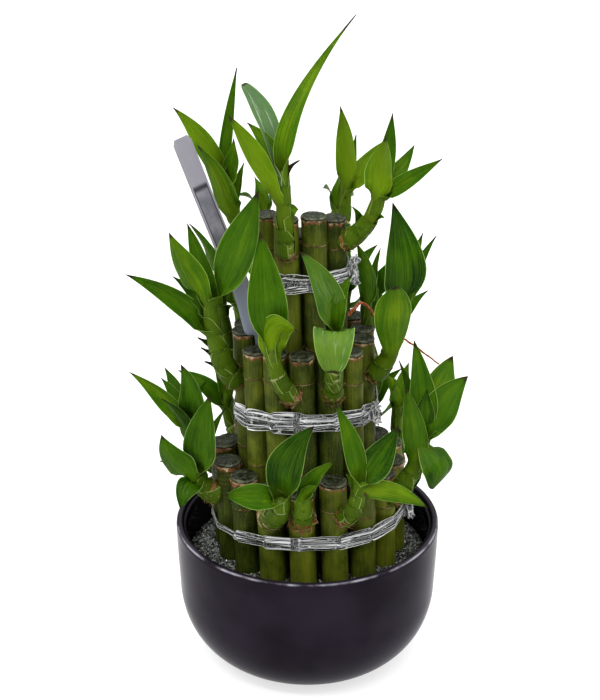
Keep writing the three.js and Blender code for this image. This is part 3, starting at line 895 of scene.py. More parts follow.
@dataclass(frozen=True)
class Backdrop:
    """Plain pale floor, lit from within so that shadows on it stay faint, and dimmer in reflections."""

    colour: Colour = (0.42, 0.42, 0.425)
    mirrored: Colour = (0.32, 0.32, 0.325)
    shade: float = 0.985
    glow: float = 0.55

    def build(self) -> bpy.types.Material:
        """Make the material.

        Returns:
            The material.
        """
        material, pen = new_material("studio_floor")
        shade = tuple(self.shade * share for share in self.colour)
        cloudy = pen.blend(pen.noise(pen.place(), 3.0), self.colour, shade)
        glossy = pen.add("LightPath").outputs["Is Glossy Ray"]
        colour = pen.blend(glossy, cloudy, self.mirrored)
        pen.surface({"Base Color": colour, "Roughness": 0.85,
                     "Specular IOR Level": 0.1, "Emission Color": (1.0, 1.0, 1.0, 1.0),
                     "Emission Strength": pen.rise(glossy, 0.0, 1.0, self.glow, self.glow / 2)})
        return material


# The tower's plan

@dataclass(frozen=True)
class Tier:
    """Ring of canes.

    Attributes:
        name: Its name.
        count: How many canes it has.
        ring: Radius of the ring that they stand on.
        radius: Radius of a cane.
        top: Height of the cut tops.
        bearing: Bearing of the first cane.
        tops: How much longer than the rest some canes are cut, by number.
        tone: How dark their bark is.
    """

    name: str
    count: int
    ring: float
    radius: float
    top: float
    bearing: float
    tops: dict[int, float]
    tone: float

    def cane_bearing(self, number: int) -> float:
        """Bearing at which a cane stands."""
        return self.bearing + number * 360 / self.count

    def cane_top(self, number: int) -> float:
        """Height of a cane's cut top."""
        return self.top + self.tops.get(number, 0.0)

    def cane_middle(self, number: int, z: np.ndarray | float) -> np.ndarray:
        """Middle line of a cane, at heights."""
        return tower_middle(z) + compass(self.cane_bearing(number)) * self.ring


TIERS = {tier.name: tier for tier in (
    Tier("core", 1, 0, 7.2, 212, 0, {}, 0.5),
    Tier("inner", 8, 15.6, 5.6, 221, 22, {0: 3.5, 2: -6, 3: -13, 4: -12, 5: -7, 6: 1.5, 7: 2}, 0.55),
    Tier("middle", 14, 27.1, 5.6, 165, -2.2, {2: -2, 5: 2, 7: -2, 8: 3, 10: 2, 11: 3, 12: -2}, 0.65),
    Tier("outer", 17, 39.3, 6.3, 104, -4.6,
         {1: 5, 5: 2, 7: -3, 9: 3, 11: 4, 13: 6, 14: 3.5, 15: 2}, 0.25),
)}


@dataclass(frozen=True)
class LeafPlan:
    """A blade: where it leaves the stem, its reach and its form.

    Attributes:
        along: Share of the stem where it leaves.
        right: Its reach to the right.
        back: Its reach to the back.
        up: Its reach upwards.
        width: Its greatest width.
        arch: How far its middle stands above the straight line.
        shade: How much darker it is than its shoot.
        roll: Turn about its own length, in degrees.
        taper: Where it is widest: small values bring that nearer the stem.
        drawn: How far its tip is drawn out.
        browned: Share of its length at the tip that is dry and dark.
        bloom: How much painted grey sheen, with painted glints, its skin carries.
        opens: Share of its length by which it has opened flat.
        seat: Bearing of the side of the stem that it leaves, or none for the side that it leans to.
        bend: Share of its reach at which it bends.
    """

    along: float
    right: float
    back: float
    up: float
    width: float
    arch: float
    shade: float = 0.0
    roll: float = 0
    taper: float = 0.72
    drawn: float = 1.0
    browned: float = 0.07
    bloom: float = 0.0
    opens: float = 0.25
    seat: float | None = None
    bend: float = 0.5

    def reach(self) -> np.ndarray:
        """From the stem to the tip."""
        return np.array([self.right, self.back, self.up], float)


@dataclass(frozen=True)
class ShootPlan:
    """A shoot: its cane, where it sits, its stem's reach and its blades.

    Attributes:
        tier: Tier of its cane.
        number: Number of its cane.
        height: Height at which it leaves the cane.
        bearing: Bearing at which it leaves the cane.
        reach: Its stem's reach to the right, to the back and upwards.
        girth: Radius of its stem, before that swells and thins.
        face: Bearing that its blades face.
        leaves: Its blades, each with the values of a LeafPlan.
        tone: How dark it is.
        husk: How dry and how thick its bud's husk is.
    """

    tier: str
    number: int
    height: float
    bearing: float
    reach: tuple[float, float, float]
    girth: float
    face: float
    leaves: tuple[tuple[float, ...], ...]
    tone: float = 0.5
    husk: float = 0.6


SHOOTS = (
    ShootPlan("inner", 7, 205, 8, (-2, -6, 41), 3.9, -8, (
        (0.98, 31, 32, 60, 8, 9.6, 0.2, 0, 0.55, 1.2, 0.1, 0, 0.25, None, 0.25),
        (0.72, -22, -9, 41, 8.4, 1, -0.05, 0, 1.0),
        (0.93, -15, 10, 22, 8, 3, 0.35), (0.96, -17, 26, 33, 9, 5, 0, 25, 1.2, 0.45, 0.03, 0.85),
        (0.88, 7, -2, 12, 3.4, 2, 0.6, 0, 0.6, 1.2, 0.55), (0.62, 6, 7, 1, 6, 2, 0, 0, 0.9)), 0.08, 0.3),
    ShootPlan("inner", 5, 203, -95, (-17, 0, 31), 3.2, -30, (
        (0.98, -21, 6, 31, 9.5, 3, -0.3), (0.98, 7, 8, 48, 5, 1, 0.35, 40), (0.5, -15.5, -6, 36, 11, 2, 0.3),
        (0.9, 5, -2, 23, 9, -2, 0.3), (0.7, 7, 6, 18, 5, 0, 0.2)), 0.12),
    ShootPlan("inner", 2, 203, 120, (2.5, 10, 24), 3.2, 20, (
        (0.95, -3, -3, 39, 9.5, 2), (0.98, 4.5, 6, 23, 5, 0, 0.3), (0.9, 18, 11, 22, 9, 1, -0.15)), 0.15),
    ShootPlan("inner", 1, 209, 30, (17.5, -3, 25), 4, 20, (
        (0.85, 2.5, -10, 31, 12.5, 2, -0.15), (0.95, 5.5, 10, 33, 8, -1, 0.25),
        (0.95, 15.5, 14, 18, 8, -1, 0.1), (0.9, 26.5, -2, 18, 7, 0, 0.1, -15), (0.6, 6, -4, 2, 4, 1, 0.3),
        (0.45, -5, 1, 9, 3.5, 1, 0.2)), 0.32, 0.8),
    ShootPlan("middle", 11, 142, -60, (-12, -13, 46), 4.6, -20, (
        (0.97, -16, -6, 34, 12.5, -1.5, -0.1), (0.9, -10, 11, 37, 10, 2, 0.05),
        (0.95, 22, -10, 55, 17.5, -2.5, 0.1, 0, 0.95),
        (0.72, -37, -6, 30, 9.5, 3, 0.05), (0.85, -17, 7, 17, 6, 2, 0.25),
        (0.3, -10, -2, 5, 3.2, 0, 0.3, 0, 0.6, 1.2, 0.4), (0.43, -9.5, -1, 7, 3.2, 0, 0.2, 0, 0.6, 1.2, 0.4),
        (0.56, -9, -2, 7, 3.2, 0, 0.25, 0, 0.6, 1.2, 0.4)), 0.45),
    ShootPlan("middle", 10, 144, -110, (-10, 2, 41), 3.4, -50, (
        (0.95, -13, 4, 29, 8, 3), (0.8, 6, -4, 8, 4, 1), (0.7, 5, -4, 6, 4, 1)), 0.7),
    ShootPlan("middle", 0, 145, -45, (-11, -10, 29), 4.4, -10, (
        (0.97, -4.5, 7, 50, 17, 1, 0.1),
        (0.8, 10.5, -13.5, 19.5, 13, 9, -0.35, 0, 0.85, 0.6, 0.05, 0, 0.25, 25)), 0.5),
    ShootPlan("middle", 1, 145, 25, (0, -16, 37), 4.2, 5, (
        (0.97, -15, 2, 37, 12.5, 4, -0.15, 0, 0.72, 1, 0.07, 0.2), (0.97, 7, 4, 26, 8, 3, 0),
        (1.0, -1, -17, -11, 17, 9, -0.35, 8, 0.8, 0.35, 0.03, 0.3, 0.1)), 0.45),
    ShootPlan("middle", 3, 146, 45, (13, -6, 34), 4.6, 20, (
        (0.97, -4, 8, 49, 19.5, 5, 0.35),
        (0.5, 1.0, -15, 38, 17, -1, -0.1, -12, 1.4, 0.7, 0.04, 0, 0.12, -10),
        (0.95, 16, 11, 34, 6, 3, 0.2), (0.9, 11, 19, 35, 8, 3, 0.3), (0.85, 13, 3, 16, 5, 2, 0.1)), 0.45),
    ShootPlan("middle", 4, 146, 95, (-2, 3, 30), 3.2, 20, (
        (0.95, -5, 3, 29, 9, 3), (0.95, 5, 5, 14, 7, 2), (0.8, 6, 10, 12, 7, 3)), 0.6),
    ShootPlan("outer", 12, 87, -110, (-15, -11, 28), 3.6, -30, (
        (0.9, -28, 1, 31, 10, 3, -0.2), (0.95, -14, 10, 22, 8, 3, -0.1), (0.95, -13, 18, 24, 9, 3),
        (0.97, -4, 6, 30, 14.5, 8, 0.2), (0.7, -14, -14, 31, 8, 3, 0.2), (0.97, 8, 2, 23, 6, 2, 0.2)), 0.55),
    ShootPlan("outer", 14, 90, -70, (-10, -2, 9), 5.2, -15, (
        (0.92, 6.5, -6, 46, 16, 2, 0.05), (0.95, -16, -4, 25, 15, -3.5, 0.15),
        (0.95, -8, -12, -9, 11, 4, 0.3), (0.9, -19, 8, 6, 5, 2, 0.3),
        (0.9, 12, 8, 33, 6, 3, 0.1)), 0.5, 0.85),
    ShootPlan("outer", 16, 91.5, -24, (7, -15, 17), 6, -10, (
        (0.95, -24.5, -7, 6.5, 11.5, 1, -0.15, 0, 0.9), (0.98, 14, 1, 35, 16.5, 4, 0.15)), 0.7, 0.1),
    ShootPlan("outer", 0, 92, 4, (0, -11, 16), 5.4, 0, (
        (0.95, 14, -6, 23, 7, 3), (0.9, 7, -8, 13, 5, 2)), 0.45, 0.95),
    ShootPlan("outer", 1, 91, 40, (8, -13, 24), 4.2, 10, (
        (0.98, -11, 4, 38, 9, 2, -0.1), (0.98, 16.5, 6, 26, 14, 0, 0.25),
        (0.95, 30.5, 4, -12, 8.5, 2.5, -0.15), (0.85, -6, 1, 10, 4, 1)), 0.5),
    ShootPlan("outer", 3, 91, 25, (16, 4, 28), 4.6, 20, (
        (0.97, -4, 14, 45, 14, 4), (0.97, 15, 24, 33, 16.5, 4, -0.05, 0, 1),
        (0.95, 21, 12, 29, 17, 4, 0.1, 0, 0.9),
        (0.97, 1, -4, 29, 11, 3, 0.15), (0.7, -6.5, -8, 42, 12, 1, 0.1), (0.85, -10, 12, 41, 7, 3, 0.1),
        (0.97, 5, -6, -20, 17.5, 9.5, 0.3, -12, 0.9, 0.5, 0.04, 0, 0.12)), 0.5, 0.85),
    ShootPlan("outer", 5, 90, 100, (0, 14, 27), 3.6, 40, (
        (0.95, -6, 0, 18, 9, 3), (0.95, 6, 10, 20, 9, 3), (0.85, 14, 14, 6, 8, 4)), 0.5),
    ShootPlan("inner", 3, 203, 150, (9, 12, 11), 3, 150, (
        (0.95, 4, 6, 18, 7, 3), (0.9, 8, 16, 2, 8, 4), (0.85, -6, 18, 6, 8, 4)), 0.4),
    ShootPlan("inner", 4, 203, -150, (-10, 10, 9), 3, -150, (
        (0.95, -4, 5, 16, 7, 3), (0.9, -14, 10, 6, 8, 4), (0.85, 2, 19, 3, 8, 4)), 0.4),
)


@dataclass(frozen=True)
class RearRow:
    """Rear canes of a tier that bear a shoot by rule.

    Attributes:
        tier: The tier.
        canes: Numbers of the canes.
        below: How far below the cut top a shoot leaves.
        out: Its stem's reach outwards.
        up: Its stem's reach upwards.
        length: Length of its blades.
    """

    tier: str
    canes: tuple[int, ...]
    below: float
    out: float
    up: float
    length: float


@dataclass
class RearRule:
    """Rule that shapes the rear's shoots as on the solids: blades to the left and right in turn."""

    state: int = 11
    rows: tuple[RearRow, ...] = (RearRow("middle", (5, 6, 8, 9), 19, 10, 25, 29),
                                 RearRow("outer", (7, 9, 10, 11), 15, 11, 20, 30))
    blades: int = 4
    girth: float = 3.3
    splay: float = 34
    slopes: tuple[float, float] = (72, 14)
    leaves_at: tuple[float, float] = (0.98, 0.76)
    width_share: float = 0.27
    arch_share: float = 0.11

    def draw(self, least: float, most: float) -> float:
        """Next draw between two values, by the rule that shaped the solids."""
        self.state = (self.state * 1664525 + 1013904223) % 2 ** 32
        return least + (most - least) * self.state / 2 ** 32

    def shoot(self, row: RearRow, number: int) -> ShootPlan:
        """Plan of one rear shoot.

        Args:
            row: The tier's values.
            number: The cane's number.

        Returns:
            The shoot's plan.
        """
        bearing = TIERS[row.tier].cane_bearing(number)
        out = compass(bearing) * row.out * self.draw(0.85, 1.15)
        up = row.up * self.draw(0.9, 1.1)
        leaves = []
        for blade in range(self.blades):
            step = blade / (self.blades - 1)
            turn = (1 if blade % 2 == 0 else -1) * self.splay * self.draw(0.6, 1.2)
            slope = math.radians(mix(*self.slopes, step))
            long = row.length * self.draw(0.8, 1.15)
            flat = compass(bearing + turn) * long * math.cos(slope)
            leaves.append((mix(*self.leaves_at, step), flat[0], flat[1], long * math.sin(slope),
                           long * self.width_share, long * self.arch_share))
        height = TIERS[row.tier].cane_top(number) - row.below
        return ShootPlan(row.tier, number, height, bearing, (out[0], out[1], up), self.girth, bearing,
                         tuple(leaves))

    def shoots(self) -> list[ShootPlan]:
        """Plans of all rear shoots, in the order of the draws."""
        return [self.shoot(row, number) for row in self.rows for number in row.canes]


# The bowl and its gravel

@dataclass(frozen=True)
class Bowl:
    """Round glazed bowl with a rounded, grooved rim."""

    rim_radius: float = 62.5
    height: float = 70.0
    foot_radius: float = 28.5
    belly_height: float = 38.0
    belly_radius: float = 61.5
    wall: float = 4.0
    floor: float = 5.0
    fullness: float = 2.12
    # Where on the rim's crest the painted highlight runs, and how wide it is
    rim_highlight_in: float = 0.5
    rim_highlight_width: float = 0.28
    segments: int = 168

    def radius(self, z: np.ndarray | float) -> np.ndarray:
        """Outside radius, as a rounded foot that runs into a steeper flank.

        Args:
            z: Heights.

        Returns:
            The radius at each height.
        """
        z = np.asarray(z, float)
        above = mix(self.belly_radius, self.rim_radius,
                    np.sin((z - self.belly_height) / (self.height - self.belly_height) * math.pi / 2))
        below = 1 - np.minimum(z, self.belly_height) / self.belly_height
        under = mix(self.foot_radius, self.belly_radius, (1 - below ** self.fullness) ** (1 / self.fullness))
        return np.where(z >= self.belly_height, above, under)

    def profile(self) -> np.ndarray:
        """Half section, from the foot's middle round to the floor's middle.

        Returns:
            Radius and height of each point.
        """
        low = self.belly_height * (1 - np.cos(np.linspace(0.05, math.pi / 2, 20)))
        high = np.linspace(self.belly_height, self.height - 2.4, 10)[1:]
        outside = [(float(self.radius(z)), float(z)) for z in [*low, *high]]
        rim, top = self.rim_radius, self.height
        lip = [(rim + 0.02, top - 1.9), (rim - 0.1, top - 1.2), (rim - 0.25, top - 0.85),
               (rim - 0.5, top - 0.5), (rim - 0.8, top - 0.25), (rim - 1.1, top - 0.1), (rim - 1.8, top),
               (rim - 2.5, top - 0.2), (rim - 3.0, top - 0.7), (rim - 3.3, top - 1.3),
               (rim - 3.35, top - 1.9), (rim - 3.6, top - 2.3), (rim - 4.2, top - 2.5),
               (rim - 4.6, top - 2.9), (rim - 4.8, top - 3.6)]
        inner = [*np.linspace(self.height - 5, self.belly_height, 8),
                 *(self.belly_height * (1 - np.cos(np.linspace(math.pi / 2, 0.62, 12)[1:])))]
        inside = [(float(self.radius(z) - self.wall - 0.6 * smooth(60, 68, z)), float(z)) for z in inner]
        base = float(self.radius(self.floor + 2)) - self.wall - 2
        foot = [(0.0, 1.2), (self.foot_radius - 4, 1.2), (self.foot_radius - 3, 0.2),
                (self.foot_radius - 2.4, 0.0), (self.foot_radius - 0.4, 0.0)]
        return np.array([*foot, *outside, *lip, *inside, (base, self.floor), (0.0, self.floor)])

    def build(self, glaze: bpy.types.Material) -> bpy.types.Object:
        """Make the bowl, which replaces its solid.

        Args:
            glaze: Its finish.

        Returns:
            The piece.
        """
        radius, z = self.profile()[1:-1].T
        angle = angles_round(self.segments)
        around = np.stack([np.sin(angle), -np.cos(angle), np.zeros_like(angle)], axis=-1)
        rings = radius[:, None, None] * around + z[:, None, None] * UP
        # Marks the rim's crest for the glaze's painted highlight
        edge = humps(radius, [self.rim_radius], self.rim_highlight_width, -self.rim_highlight_in) * (z > self.height - 1)
        skin = Skin("bowl")
        skin.loft(rings, {Mark.DRY: edge[:, None]})
        return skin.dress([glaze], 60, ["pot"])


@dataclass(frozen=True)
class Gravel:
    """Loose crystal grains over the gravel's solid."""

    bowl: Bowl
    height_at_wall: float = 48.5
    height_at_canes: float = 57.0
    bundle_radius: float = 47.0
    inner_radius: float = 38
    wall_gap: float = 0.9
    grains: int = 15000
    grain_radius: tuple[float, float] = (0.42, 0.85)
    seed: int = 5

    def surface(self, radius: np.ndarray) -> np.ndarray:
        """Height of the gravel, which slopes down from the canes to the wall.

        Args:
            radius: Distances from the middle.

        Returns:
            The height at each distance.
        """
        wall = float(self.bowl.radius(self.height_at_wall)) - self.bowl.wall
        share = np.clip((radius - self.bundle_radius) / (wall - self.bundle_radius), 0, 1)
        return mix(self.height_at_canes, self.height_at_wall, share)

    def build(self, crystal: bpy.types.Material, depth: bpy.types.Material) -> None:
        """Make the grains and give the solid its dark finish, with painted shade between grain cells.

        Args:
            crystal: Finish of the grains.
            depth: Finish of the solid under them, with painted shade between grain cells.
        """
        draw = np.random.default_rng(self.seed)
        wall = float(self.bowl.radius(self.height_at_wall)) - self.bowl.wall - self.wall_gap
        radius = np.sqrt(draw.uniform(self.inner_radius ** 2, wall ** 2, self.grains))
        bearing = draw.uniform(0, 360, self.grains)
        spots = compass(bearing) * radius[:, None]
        size = draw.uniform(*self.grain_radius, self.grains)
        spots[:, 2] = self.surface(radius) + draw.uniform(-0.5, 0.6, self.grains) - size * 0.3
        for tier in TIERS.values():
            for number in range(tier.count):
                cane = tier.cane_middle(number, self.height_at_canes)
                clear = np.linalg.norm((spots - cane)[:, :2], axis=1) > tier.radius + size * 0.55
                spots, size = spots[clear], size[clear]
        count = len(spots)
        corners = np.repeat(np.concatenate([np.eye(3), -np.eye(3)])[None], count, axis=0)
        corners = corners * draw.uniform(0.7, 1.25, (count, 6, 1)) + draw.uniform(-0.22, 0.22, (count, 6, 3))
        turns = np.linalg.qr(draw.normal(size=(count, 3, 3)))[0]
        points = (corners * size[:, None, None]) @ turns + spots[:, None]
        hull = np.array([(0, 1, 2), (1, 3, 2), (3, 4, 2), (4, 0, 2),
                         (1, 0, 5), (3, 1, 5), (4, 3, 5), (0, 4, 5)])
        skin = Skin("crystal_gravel")
        skin.add_points(points.reshape(-1, 3), {Mark.TONE: np.repeat(draw.beta(0.7, 1.5, count), 6)})
        skin.add_faces((hull[None] + 6 * np.arange(count)[:, None, None]).reshape(-1, 3))
        skin.dress([crystal], 12)
        bed = bpy.data.objects["gravel_bed"]
        bed.data.materials.clear()
        bed.data.materials.append(depth)


# Canes

class CaneFinish(Enum):
    """Number of each finish on a cane."""

    BARK = 0
    WAX = 1
    HUSK = 2


@dataclass(frozen=True)
class Cane:
    """Cut cane with node rings, dry fibres and a wax cap.

    Attributes:
        tier: Its tier.
        number: Its number in the tier.
        seed: Draw of its rings, relief and fibres.
        foot: Height of its foot.
        sides: Points round it.
        wax_height: Height of the wax cap.
        first_node: How far below the top the first node ring is.
        node_gap: Least and greatest distance between node rings.
        lowest_node: Height below which no node ring is made.
        slack: How much thinner than the solid the bark is between the rings.
        swell: How far the bark swells at a node, and over what height.
        ridge: How far a node ring stands out, and over what height.
        groove: How deep the groove over a ring is, over what height, and how far above the ring.
        old_first: How far below its shoulder an old cane's first close ring is.
        old_gap: Distance between its close rings.
    """

    tier: Tier
    number: int
    seed: int
    foot: float = 14.3
    sides: int = 36
    wax_height: float = 1.7
    first_node: float = 13
    node_gap: tuple[float, float] = (31, 52)
    lowest_node: float = 50
    slack: float = 0.22
    swell: tuple[float, float] = (0.16, 3.2)
    ridge: tuple[float, float] = (0.2, 0.34)
    groove: tuple[float, float, float] = (0.12, 0.5, 1.0)
    old_first: float = 2.0
    old_gap: float = 2.3

    def node_heights(self, draw: np.random.Generator) -> list[float]:
        """Heights of the node rings, from the top one down to the gravel.

        Args:
            draw: Random draws of the cane.

        Returns:
            The heights.
        """
        top = self.tier.cane_top(self.number)
        height = top - self.first_node - (self.number * 5) % 4
        heights = []
        while height > self.lowest_node:
            heights.append(height)
            height -= draw.uniform(*self.node_gap)
        return heights

    def build(self, bark: bpy.types.Material, wax: bpy.types.Material, husk: bpy.types.Material,
              old: bool) -> bpy.types.Object:
        """Make the cane, which replaces its solid.

        Args:
            bark: Finish of the cane.
            wax: Finish of the cap.
            husk: Finish of the dry fibres.
            old: Whether its top is a stack of close rings.

        Returns:
            The piece.
        """
        draw = np.random.default_rng(self.seed)
        tier, top = self.tier, self.tier.cane_top(self.number)
        shoulder = top - self.wax_height
        nodes = self.node_heights(draw)
        if old:
            nodes += [shoulder - self.old_first - self.old_gap * k for k in range(4)]
        rows = set(np.arange(self.foot, shoulder, 5.0)) | {shoulder}
        for node in nodes:
            rows |= {node + step for step in (-1.5, -0.8, -0.35, 0, 0.35, 0.8, 1.5)}
        z = np.array(sorted(row for row in rows if row <= shoulder))
        swell = humps(z, nodes, self.swell[1])
        ridge = humps(z, nodes, self.ridge[1])
        groove = humps(z, nodes, *self.groove[1:])
        bearing = tier.cane_bearing(self.number)
        angle = angles_round(self.sides)
        wobble = 0.06 * waves(self.seed, np.cos(angle) * 0.5, np.sin(angle) * 0.5, z[:, None] / 40)
        radii = (tier.radius - self.slack + self.swell[0] * swell + self.ridge[0] * ridge
                 - self.groove[0] * groove)[:, None] + wobble
        slant = 0.35 * np.sin(angle + draw.uniform(0, TURN)) * swell[:, None]
        centres = tier.cane_middle(self.number, z)
        axes = np.broadcast_to(unit(np.array([TOWER_LEAN, 0, 1.0])), centres.shape)
        tone = 0.9 if old else tier.tone + draw.uniform(-0.3, 0.3)
        skin = Skin(f"{tier.name}_cane_{self.number}")
        skin.loft(rings_about(centres, axes, compass(bearing), radii, self.sides, slant),
                  {Mark.ALONG: (shoulder - z)[:, None],
                   Mark.DRY: (ridge * (0.5 if old else 1.0))[:, None],
                   Mark.TONE: tone}, CaneFinish.BARK.value)
        self.add_wax(skin, draw, shoulder, top)
        self.add_fibres(skin, draw, [(node, 12) for node in nodes[:2]] + [(shoulder - 0.9, 9)])
        return skin.dress([bark, wax, husk], 50, [f"cane_{tier.name}_{self.number}"])

    def add_wax(self, skin: Skin, draw: np.random.Generator, shoulder: float, top: float) -> None:
        """Put the wax cap on, with a wavy lower edge.

        Args:
            skin: Mesh that it joins.
            draw: Random draws of the cane.
            shoulder: Height at which the cap starts.
            top: Height of the cut top.
        """
        radius = self.tier.radius - 0.2
        levels = np.array([-0.1, 0.25, 0.8, 1.2, 1.5, 1.66, 1.72])
        widths = np.array([0.05, 0.16, 0.08, -0.25, -1.1, -2.7, -4.3])
        angle = angles_round(self.sides)
        edge = waves(self.seed + 900, np.cos(angle), np.sin(angle), count=4)
        z = shoulder + levels[:, None] + 0.28 * edge[None] * np.linspace(1, 0, len(levels))[:, None]
        centres = self.tier.cane_middle(self.number, shoulder + levels)
        axes = np.broadcast_to(UP, centres.shape)
        lumps = 0.1 * waves(self.seed + 901, np.cos(angle), np.sin(angle), levels[:, None])
        rings = rings_about(centres, axes, compass(0.0), radius + widths[:, None] + lumps, self.sides)
        rings[..., 2] = np.minimum(z, top + 0.1)
        skin.loft(rings, {Mark.TONE: draw.uniform(), Mark.ALONG: np.linspace(0, 1, len(levels))[:, None]},
                  CaneFinish.WAX.value)

    def add_fibres(self, skin: Skin, draw: np.random.Generator, places: Iterable[tuple[float, int]]) -> None:
        """Stand thin dry fibres on node rings.

        Args:
            skin: Mesh that they join.
            draw: Random draws of the cane.
            places: Height of each ring, and how many fibres it has.
        """
        for height, count in places:
            for _ in range(count):
                bearing = draw.uniform(0, 360)
                out, up = compass(bearing), draw.uniform(0.3, 1.6)
                start = self.tier.cane_middle(self.number, height) + out * (self.tier.radius - 0.25)
                side = compass(bearing + 90) * draw.uniform(-2.0, 2.0)
                end = start + out * draw.uniform(0.15, 0.5) + side + UP * up
                arc = Arc(start, (start + end) / 2 + out * 0.25, end)
                add_fibre(skin, arc, draw.uniform(0.14, 0.25), CaneFinish.HUSK.value,
                          draw.uniform(-0.2, 0.8))


def add_fibre(skin: Skin, arc: Arc, radius: float, finish: int, tone: float) -> None:
    """Add a thin tapered fibre along a curve.

    Args:
        skin: Mesh that it joins.
        arc: Its middle line.
        radius: Radius at its start.
        finish: Number of its finish.
        tone: Its tone.
    """
    t = np.linspace(0, 1, 4)
    rings = rings_about(arc.point(t), arc.tangent(t), np.array([0.3, 0.5, 0.8]), radius * (1 - 0.8 * t), 3)
    skin.loft(rings, {Mark.TONE: tone, Mark.DRY: t[:, None]}, finish)


# Shoots

class ShootFinish(Enum):
    """Number of each finish on a shoot."""

    BLADE = 0
    STEM = 1
    HUSK = 2


# Shares of a blade's length at which it has a section: close together at its base and tip
BLADE_SECTIONS = np.concatenate([[0, 0.03, 0.07, 0.12, 0.18, 0.25], np.linspace(0.32, 0.93, 13),
                                 [0.96, 0.98, 0.995]])


@dataclass
class Shoot:
    """Leafy shoot: bud husks, a sheathed stem and blades that wrap it at their base.

    Attributes:
        plan: Its plan.
        seed: Draw of its irregular features.
        sunk: How far its stem starts inside the cane's skin.
        bow: Share of its stem's reach outwards at which that turns up.
        climb: Share of its stem's reach upwards at which that turns up.
        stations: Shares of the stem's length.
        swelling: The stem's thickness at those stations, as shares of its girth.
        face_tilt: How far the blades' faces look up, in degrees.
        base_width: How much wider a blade is at its base.
        least_half: Least half width of a blade, which shrinks towards its tip.
        first_sheath: How far the first blade's base stands off the stem.
        next_sheath: How much farther off each next one stands.
        sheath_lifts: How far the sections of a blade's sheath stand off, as shares of its base's.
        rolls: How far a sheath's foot, a blade's base and the open blade curl, in radians from the
            middle to each margin.
        fold: Least and greatest fold of a blade, as shares of its half width.
        keel: How far its middle rib stands out, and over what share of its half width.
        thickness: A blade's thickness at its middle and at its margins.
        columns: Points across a blade, from margin to margin.
        narrow: Width up to which a blade is a withered scale, which the sheaths may pass.
        room: How far below the lowest blade the sheaths end.
    """

    plan: ShootPlan
    seed: int
    sunk: float = 2.2
    bow: float = 0.85
    climb: float = 0.25
    stations: tuple[float, ...] = (0, 0.05, 0.14, 0.3, 0.6, 1)
    swelling: tuple[float, ...] = (0.62, 0.92, 1.02, 0.86, 0.76, 0.58)
    face_tilt: float = 22.0
    base_width: float = 2.8
    least_half: float = 1.0
    first_sheath: float = 0.12
    next_sheath: float = 0.11
    sheath_lifts: tuple[float, ...] = (-1.5, 0.8, 1.0, 1.0)
    rolls: tuple[float, float, float] = (3.0, 2.5, 0.34)
    fold: tuple[float, float] = (0.08, 0.22)
    keel: tuple[float, float] = (0.22, 0.16)
    thickness: tuple[float, float] = (0.52, 0.13)
    columns: tuple[float, ...] = (-1, -0.9, -0.7, -0.42, -0.14, 0.14, 0.42, 0.7, 0.9, 1)
    narrow: float = 3.5
    room: float = 5.0

    def __post_init__(self) -> None:
        """Lay the stem's line, start the draws and list the blades."""
        plan, tier = self.plan, TIERS[self.plan.tier]
        start = tier.cane_middle(plan.number, plan.height) + compass(plan.bearing) * (tier.radius - self.sunk)
        reach = np.array(plan.reach, float)
        self.stem = Arc(start, start + reach * (self.bow, self.bow, self.climb), start + reach)
        self.draw = np.random.default_rng(self.seed)
        self.leaves = [LeafPlan(*leaf) for leaf in plan.leaves]

    def girth(self, t: np.ndarray | float) -> np.ndarray:
        """Stem radius along its length."""
        return self.plan.girth * np.interp(t, self.stations, self.swelling)

    def build(self, blade: bpy.types.Material, stem: bpy.types.Material,
              husk: bpy.types.Material) -> bpy.types.Object:
        """Make the shoot's piece.

        Args:
            blade: Finish of the blades.
            stem: Finish of the stem and its sheaths.
            husk: Finish of the bud's scales.

        Returns:
            The piece.
        """
        skin = Skin(f"{self.plan.tier}_shoot_{self.plan.number}")
        self.add_stem(skin)
        tips = self.add_sheaths(skin)
        self.add_husks(skin)
        for order, leaf in enumerate([*self.leaves, *tips]):
            self.add_blade(skin, leaf, order)
        return skin.dress([blade, stem, husk], 70)

    def add_stem(self, skin: Skin) -> None:
        """Add the stem, rounded at its end.

        Args:
            skin: Mesh that it joins.
        """
        t = np.linspace(0, 1, 15)
        radii = self.girth(t) * np.sqrt(1 - smooth(0.93, 1.0, t) * 0.9)
        rings = rings_about(self.stem.point(t), self.stem.tangent(t), compass(self.plan.bearing), radii, 18)
        skin.loft(rings, {Mark.TONE: self.plan.tone}, ShootFinish.STEM.value)

    def add_cup(self, skin: Skin, low: float, high: float, sides: int, swell: float, rag: float,
                slant: float, finish: ShootFinish, tone: float) -> None:
        """Add a sheath or scale that wraps the stem, open at its slanting rim.

        Args:
            skin: Mesh that it joins.
            low: Share of the stem where it starts.
            high: Share of the stem at its rim.
            sides: Points round it.
            swell: How far its rim stands off the stem.
            rag: How ragged the rim is.
            slant: How far the rim slants, in millimetres.
            finish: Its finish.
            tone: Its tone.
        """
        steps = np.array([0, 0.3, 0.6, 0.85, 1.0, 1.0])
        off = np.array([-0.3, 0.35, 0.65, 0.9, 1.0, 0.15]) * swell
        t = mix(low, high, steps)
        angle = angles_round(sides)
        turn = self.draw.uniform(0, TURN)
        lift = slant * np.cos(angle + turn) + rag * waves(int(self.draw.integers(1 << 30)), np.cos(angle) * 2,
                                                          np.sin(angle) * 2)
        rise = lift[None] * (steps ** 2)[:, None]
        rise[-1] -= 0.5
        ribs = 0.12 * swell * np.cos(angle * 5 + turn)[None] * steps[:, None]
        radii = (self.girth(t) + off)[:, None] + ribs
        rings = rings_about(self.stem.point(t), self.stem.tangent(t), compass(self.plan.bearing), radii,
                            sides, rise)
        dry = np.array([0, 0, 0.1, 0.5, 1.0, 1.0])[:, None]
        skin.loft(rings, {Mark.TONE: tone, Mark.DRY: dry}, finish.value)

